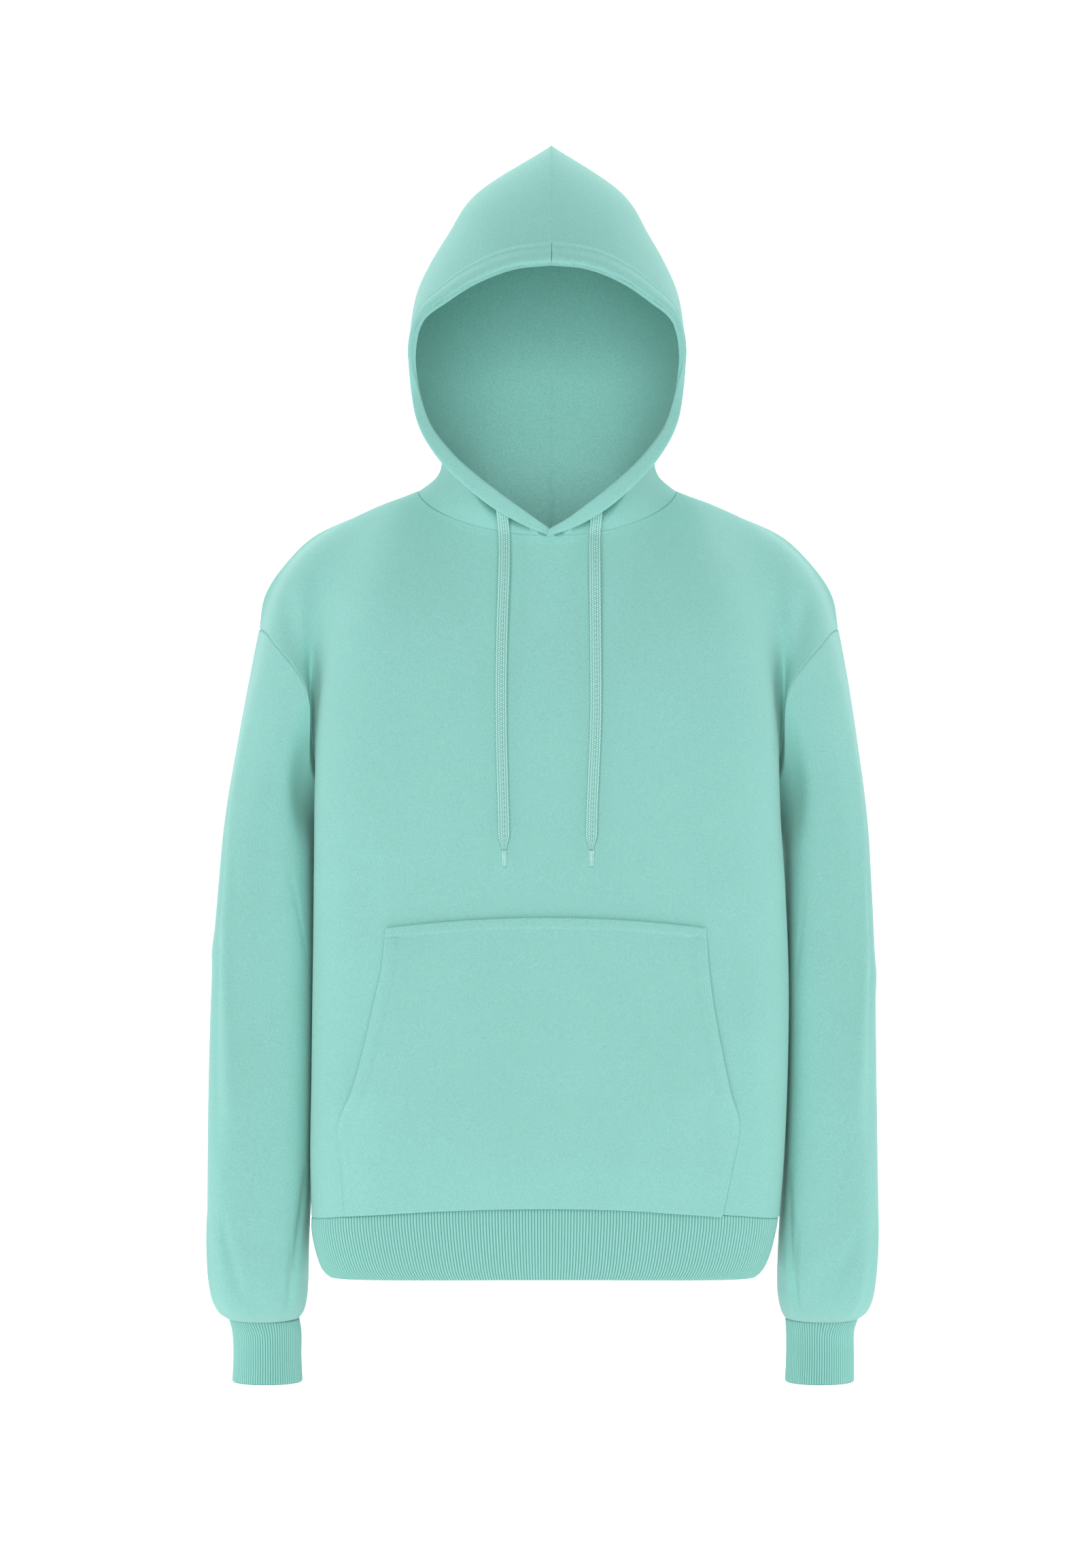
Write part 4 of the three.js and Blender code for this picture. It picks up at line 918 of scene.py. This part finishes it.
def pocket(columns, rows):
    """A grid on the front, moved out by the cloth and by the room behind it. Its lines crowd
    at the edges, where the turned hems swell and the stitches pull them down."""
    down = np.linspace(0, 1, rows)[:, None]
    down = np.where(down < 0.2, down * 0.3, 0.06 + (down - 0.2) * 0.94 / 0.8)
    z = mix(POCKET["z"][0], POCKET["z"][-1], down)
    u = np.linspace(-1, 1, columns)[None]
    u = np.where(np.abs(u) > 0.7, np.sign(u) * (0.88 + (np.abs(u) - 0.7) * 0.4), u * 0.88 / 0.7)
    half = np.where(u < 0, read(POCKET, "z", z, "left"), read(POCKET, "z", z, "right"))
    height = z + read(POCKET, "z", z, "rise") * (1 - u * u)
    sewn = np.clip(read(POCKET, "z", z, "sewn"), 0, 1)
    room = mix(POCKET_ROOM, POCKET_GAPE, u * u) * np.sin(np.pi * down) ** 0.6 * (1 - sewn * np.abs(u) ** 5)
    points = on_front(u * half, height)
    points = points + surface_normals(points) * (WALL + 0.3) - xyz(0, 1, 0) * room[..., None]
    from_side = (1 - np.abs(u)) * half * 0.95
    from_top = down * (POCKET["z"][0] - POCKET["z"][-1])
    bottom = smooth(np.clip((1 - down) / 0.03, 0, 1))
    band = (1 - sewn) * (1 - smooth(np.clip((from_side - BAND_WIDTH) / 1.2, 0, 1)))
    hem = 1 - smooth(np.clip((from_top - POCKET_TOP_ROW) / 1.4, 0, 1))
    rim = np.sqrt(1 - (1 - np.clip(np.minimum(from_side, from_top + 0.5) / 2.5, 0, 1)) ** 2)
    dip = np.exp(-((from_top - POCKET_TOP_ROW) / 1) ** 2) + np.exp(-((from_side - BAND_WIDTH) / 1.1) ** 2) * (1 - sewn)
    swell = (0.9 * np.maximum(band, hem) * bottom + 0.3) * rim - 0.55 * dip
    return points + surface_normals(points) * swell[..., None]


POCKET_CLOTH = pocket(170, 130)
dress(cloth("pocket_cloth", POCKET_CLOTH, rounding=0.5), "pocket")
pocket_thread = []
for row in (1.2, POCKET_TOP_ROW):
    pocket_thread.append(running(inset(POCKET_CLOTH, row, "first_row"), 2.4, 1.7))
for edge in ("first_column", "last_column"):
    heights = POCKET_CLOTH[:, 0 if edge == "first_column" else -1, 2]
    hand = (heights < POCKET_CLOTH[0, 0, 2] - 1) & (heights > -569)
    lines = {d: tuple(part[hand] for part in inset(POCKET_CLOTH, d, edge)) for d in (0.8, 5.4, 6.4, 8.6)}
    pocket_thread.append(bars(lines[0.8], lines[5.4], 3.3))
    pocket_thread += [running(lines[d], 2.3, 1.9) for d in (6.4, 8.6)]
    low = heights < -574
    pocket_thread.append(running(tuple(part[low] for part in inset(POCKET_CLOTH, 1.4, edge)), 2.6, 1.8))
    pocket_thread.append(running(tuple(part[low] for part in inset(POCKET_CLOTH, 7.5, edge)), 2.6, 1.8))
sew("pocket_stitches", pocket_thread, sunk=0.02)


# Hem rib and cuffs: two-by-one rib knit, doubled and folded at the free edge. The ribs draw
# the cloth in, about five to a centimetre round the hem.
RIB_WALL = 2.6
RIB_DEPTH = 0.9
HEM_RIBS = 420
CUFF_RIBS = 84
COLUMNS_PER_RIB = 6
HEM_RIB = table("z left right front back arch",
                (-643.5, 204, 201, 127, 127, 13), (-655, 204, 199, 126, 127, 11),
                (-675, 200, 194, 122, 124, 7), (-690, 194, 187, 116, 119, 3),
                (-696, 187, 180, 110, 113, 1))
CUFF = table("z out_left in_left out_right in_right front back square",
             (-738.6, 280, 218, 274.5, 210.3, -46, 36, 2), (-750, 277, 216, 271, 211, -36, 24, 2),
             (-772, 276, 216, 271, 211, -35, 23, 2), (-794, 277, 215, 271, 210, -36, 24, 2))


def rib_knit():
    """Cotton rib: smooth raised wales, matt like the fleece but crisper, since it isn't brushed. The
    grooves between the wales are darkened in the colour, by the rib height, as painted shade."""
    material, tree = new_material("cotton_rib")
    groove = node(tree, "ShaderNodeAttribute", attribute_name="rib_height")
    where = node(tree, "ShaderNodeTexCoord").outputs["Object"]
    fibres = node(tree, "ShaderNodeTexNoise", {"Vector": where, "Scale": 1100, "Detail": 2})
    # Painted shade: the grooves between the wales take the darker colour, mixed by rib height.
    tone = node(tree, "ShaderNodeMix", {"Factor": groove.outputs["Fac"], "A": srgb("#5b9d92"),
                                        "B": srgb("#97d2c9")}, data_type="RGBA")
    bump = node(tree, "ShaderNodeBump", {"Height": fibres.outputs["Fac"], "Strength": 0.35,
                                         "Distance": 0.0005})
    knit = node(tree, "ShaderNodeBsdfPrincipled", {"Base Color": tone.outputs[2],
                                                   "Roughness": 0.9, "Sheen Weight": 0.25,
                                                   "Sheen Tint": srgb("#d8fff8"),
                                                   "Specular IOR Level": 0.15,
                                                   "Normal": bump.outputs["Normal"]})
    finish_material(tree, knit)
    return material


RIB = rib_knit()


def ribbed(name, rings, ribs):
    """Rings are evenly resampled and pressed in between the ribs, by a rounded wave round
    the ring."""
    columns = ribs * COLUMNS_PER_RIB
    points = even(np.concatenate([rings, rings[:, :1]], 1), columns + 1)[:, :-1]
    wave = np.abs(np.sin(np.pi * np.arange(columns) / COLUMNS_PER_RIB)) ** 0.6
    points = points - surface_normals(points, True) * (RIB_DEPTH * (1 - wave))[None, :, None]
    points = rolled(points, ("first_row", "last_row"), around=True, roll=1.2)
    piece = cloth(name, points, RIB_WALL - RIB_DEPTH, around=True, outside=RIB)
    height = piece.data.attributes.new("rib_height", "FLOAT", "POINT")
    height.data.foreach_set("value", np.tile(wave, (len(points), 1)).ravel())
    return piece, points


rib_turn = np.linspace(0, 2 * np.pi, 900, endpoint=False)[None]
hem_z = np.linspace(HEM_RIB["z"][0] + 0.5, HEM_RIB["z"][-1], 14)[:, None]
hem_piece, hem_points = ribbed("hem_knit", section(HEM_RIB, hem_z + 0 * rib_turn, rib_turn + 0 * hem_z), HEM_RIBS)
dress(hem_piece, "hem_rib")
for side, sign in (("left", -1), ("right", 1)):
    cuff_z = np.linspace(CUFF["z"][0] + 0.5, CUFF["z"][-1], 14)[:, None]
    cuff_turn = np.degrees(rib_turn)
    rings = arm_ring(CUFF, cuff_z + 0 * cuff_turn, cuff_turn + 0 * cuff_z, sign)
    cuff_piece, cuff_points = ribbed("cuff_knit_" + side, rings, CUFF_RIBS)
    dress(cuff_piece, "cuff_" + side)


# Studio: a pale floor that sweeps up behind, two broad softboxes at the sides and a soft
# fill from the front, as for a product picture on white.
FLOOR_Z = -1500


def studio_floor():
    """A floor that curves up into a wall: level, then a quarter of a circle, then upright."""
    floor_y = np.linspace(-6000, 3000, 10)
    bend = np.linspace(0, np.pi / 2, 20)[1:]
    y = np.r_[floor_y, 3000 + 1500 * np.sin(bend), 4500]
    z = np.r_[0 * floor_y, 1500 - 1500 * np.cos(bend), 6000] + FLOOR_Z
    x = np.linspace(-6000, 6000, 8)
    points = xyz(x[None] + 0 * y[:, None], y[:, None], z[:, None])[:, ::-1]
    return grid_mesh("floor", points, arc_uv(points))


pale, pale_tree = new_material("pale_floor")
finish_material(pale_tree, node(pale_tree, "ShaderNodeBsdfDiffuse", {"Color": srgb("#f4f6f6")}))
place("floor", studio_floor(), pale)


def softbox(name, at, aim, size, power, colour="#ffffff"):
    """A square area light at a place, turned to face its aim; both in mm."""
    data = bpy.data.lights.new(name, "AREA")
    data.size = size * MM
    data.energy = power
    data.color = srgb(colour)[:3]
    lamp = bpy.data.objects.new(name, data)
    away = unit(np.array(at, float) - np.array(aim, float))
    lamp.location = np.array(at) * MM
    lamp.rotation_euler = (np.arccos(away[2]), 0, np.arctan2(away[1], away[0]) + np.pi / 2)
    bpy.context.collection.objects.link(lamp)


GARMENT_MIDDLE = (0, 0, -250)
softbox("left_softbox", (-2500, -100, -300), GARMENT_MIDDLE, 1800, 28)
softbox("right_softbox", (2500, -100, -300), GARMENT_MIDDLE, 1800, 28)
softbox("front_fill", (-200, -4600, 300), GARMENT_MIDDLE, 3200, 150)
softbox("backdrop_wash", (0, 1400, 2600), (0, 4200, -200), 3000, 190)

world = bpy.data.worlds.new("studio")
world.use_nodes = True
world.node_tree.nodes["Background"].inputs["Color"].default_value = srgb("#ffffff")
world.node_tree.nodes["Background"].inputs["Strength"].default_value = 0.18
bpy.context.scene.world = world
bpy.context.scene.view_settings.view_transform = "Standard"

bpy.context.view_layer.update()
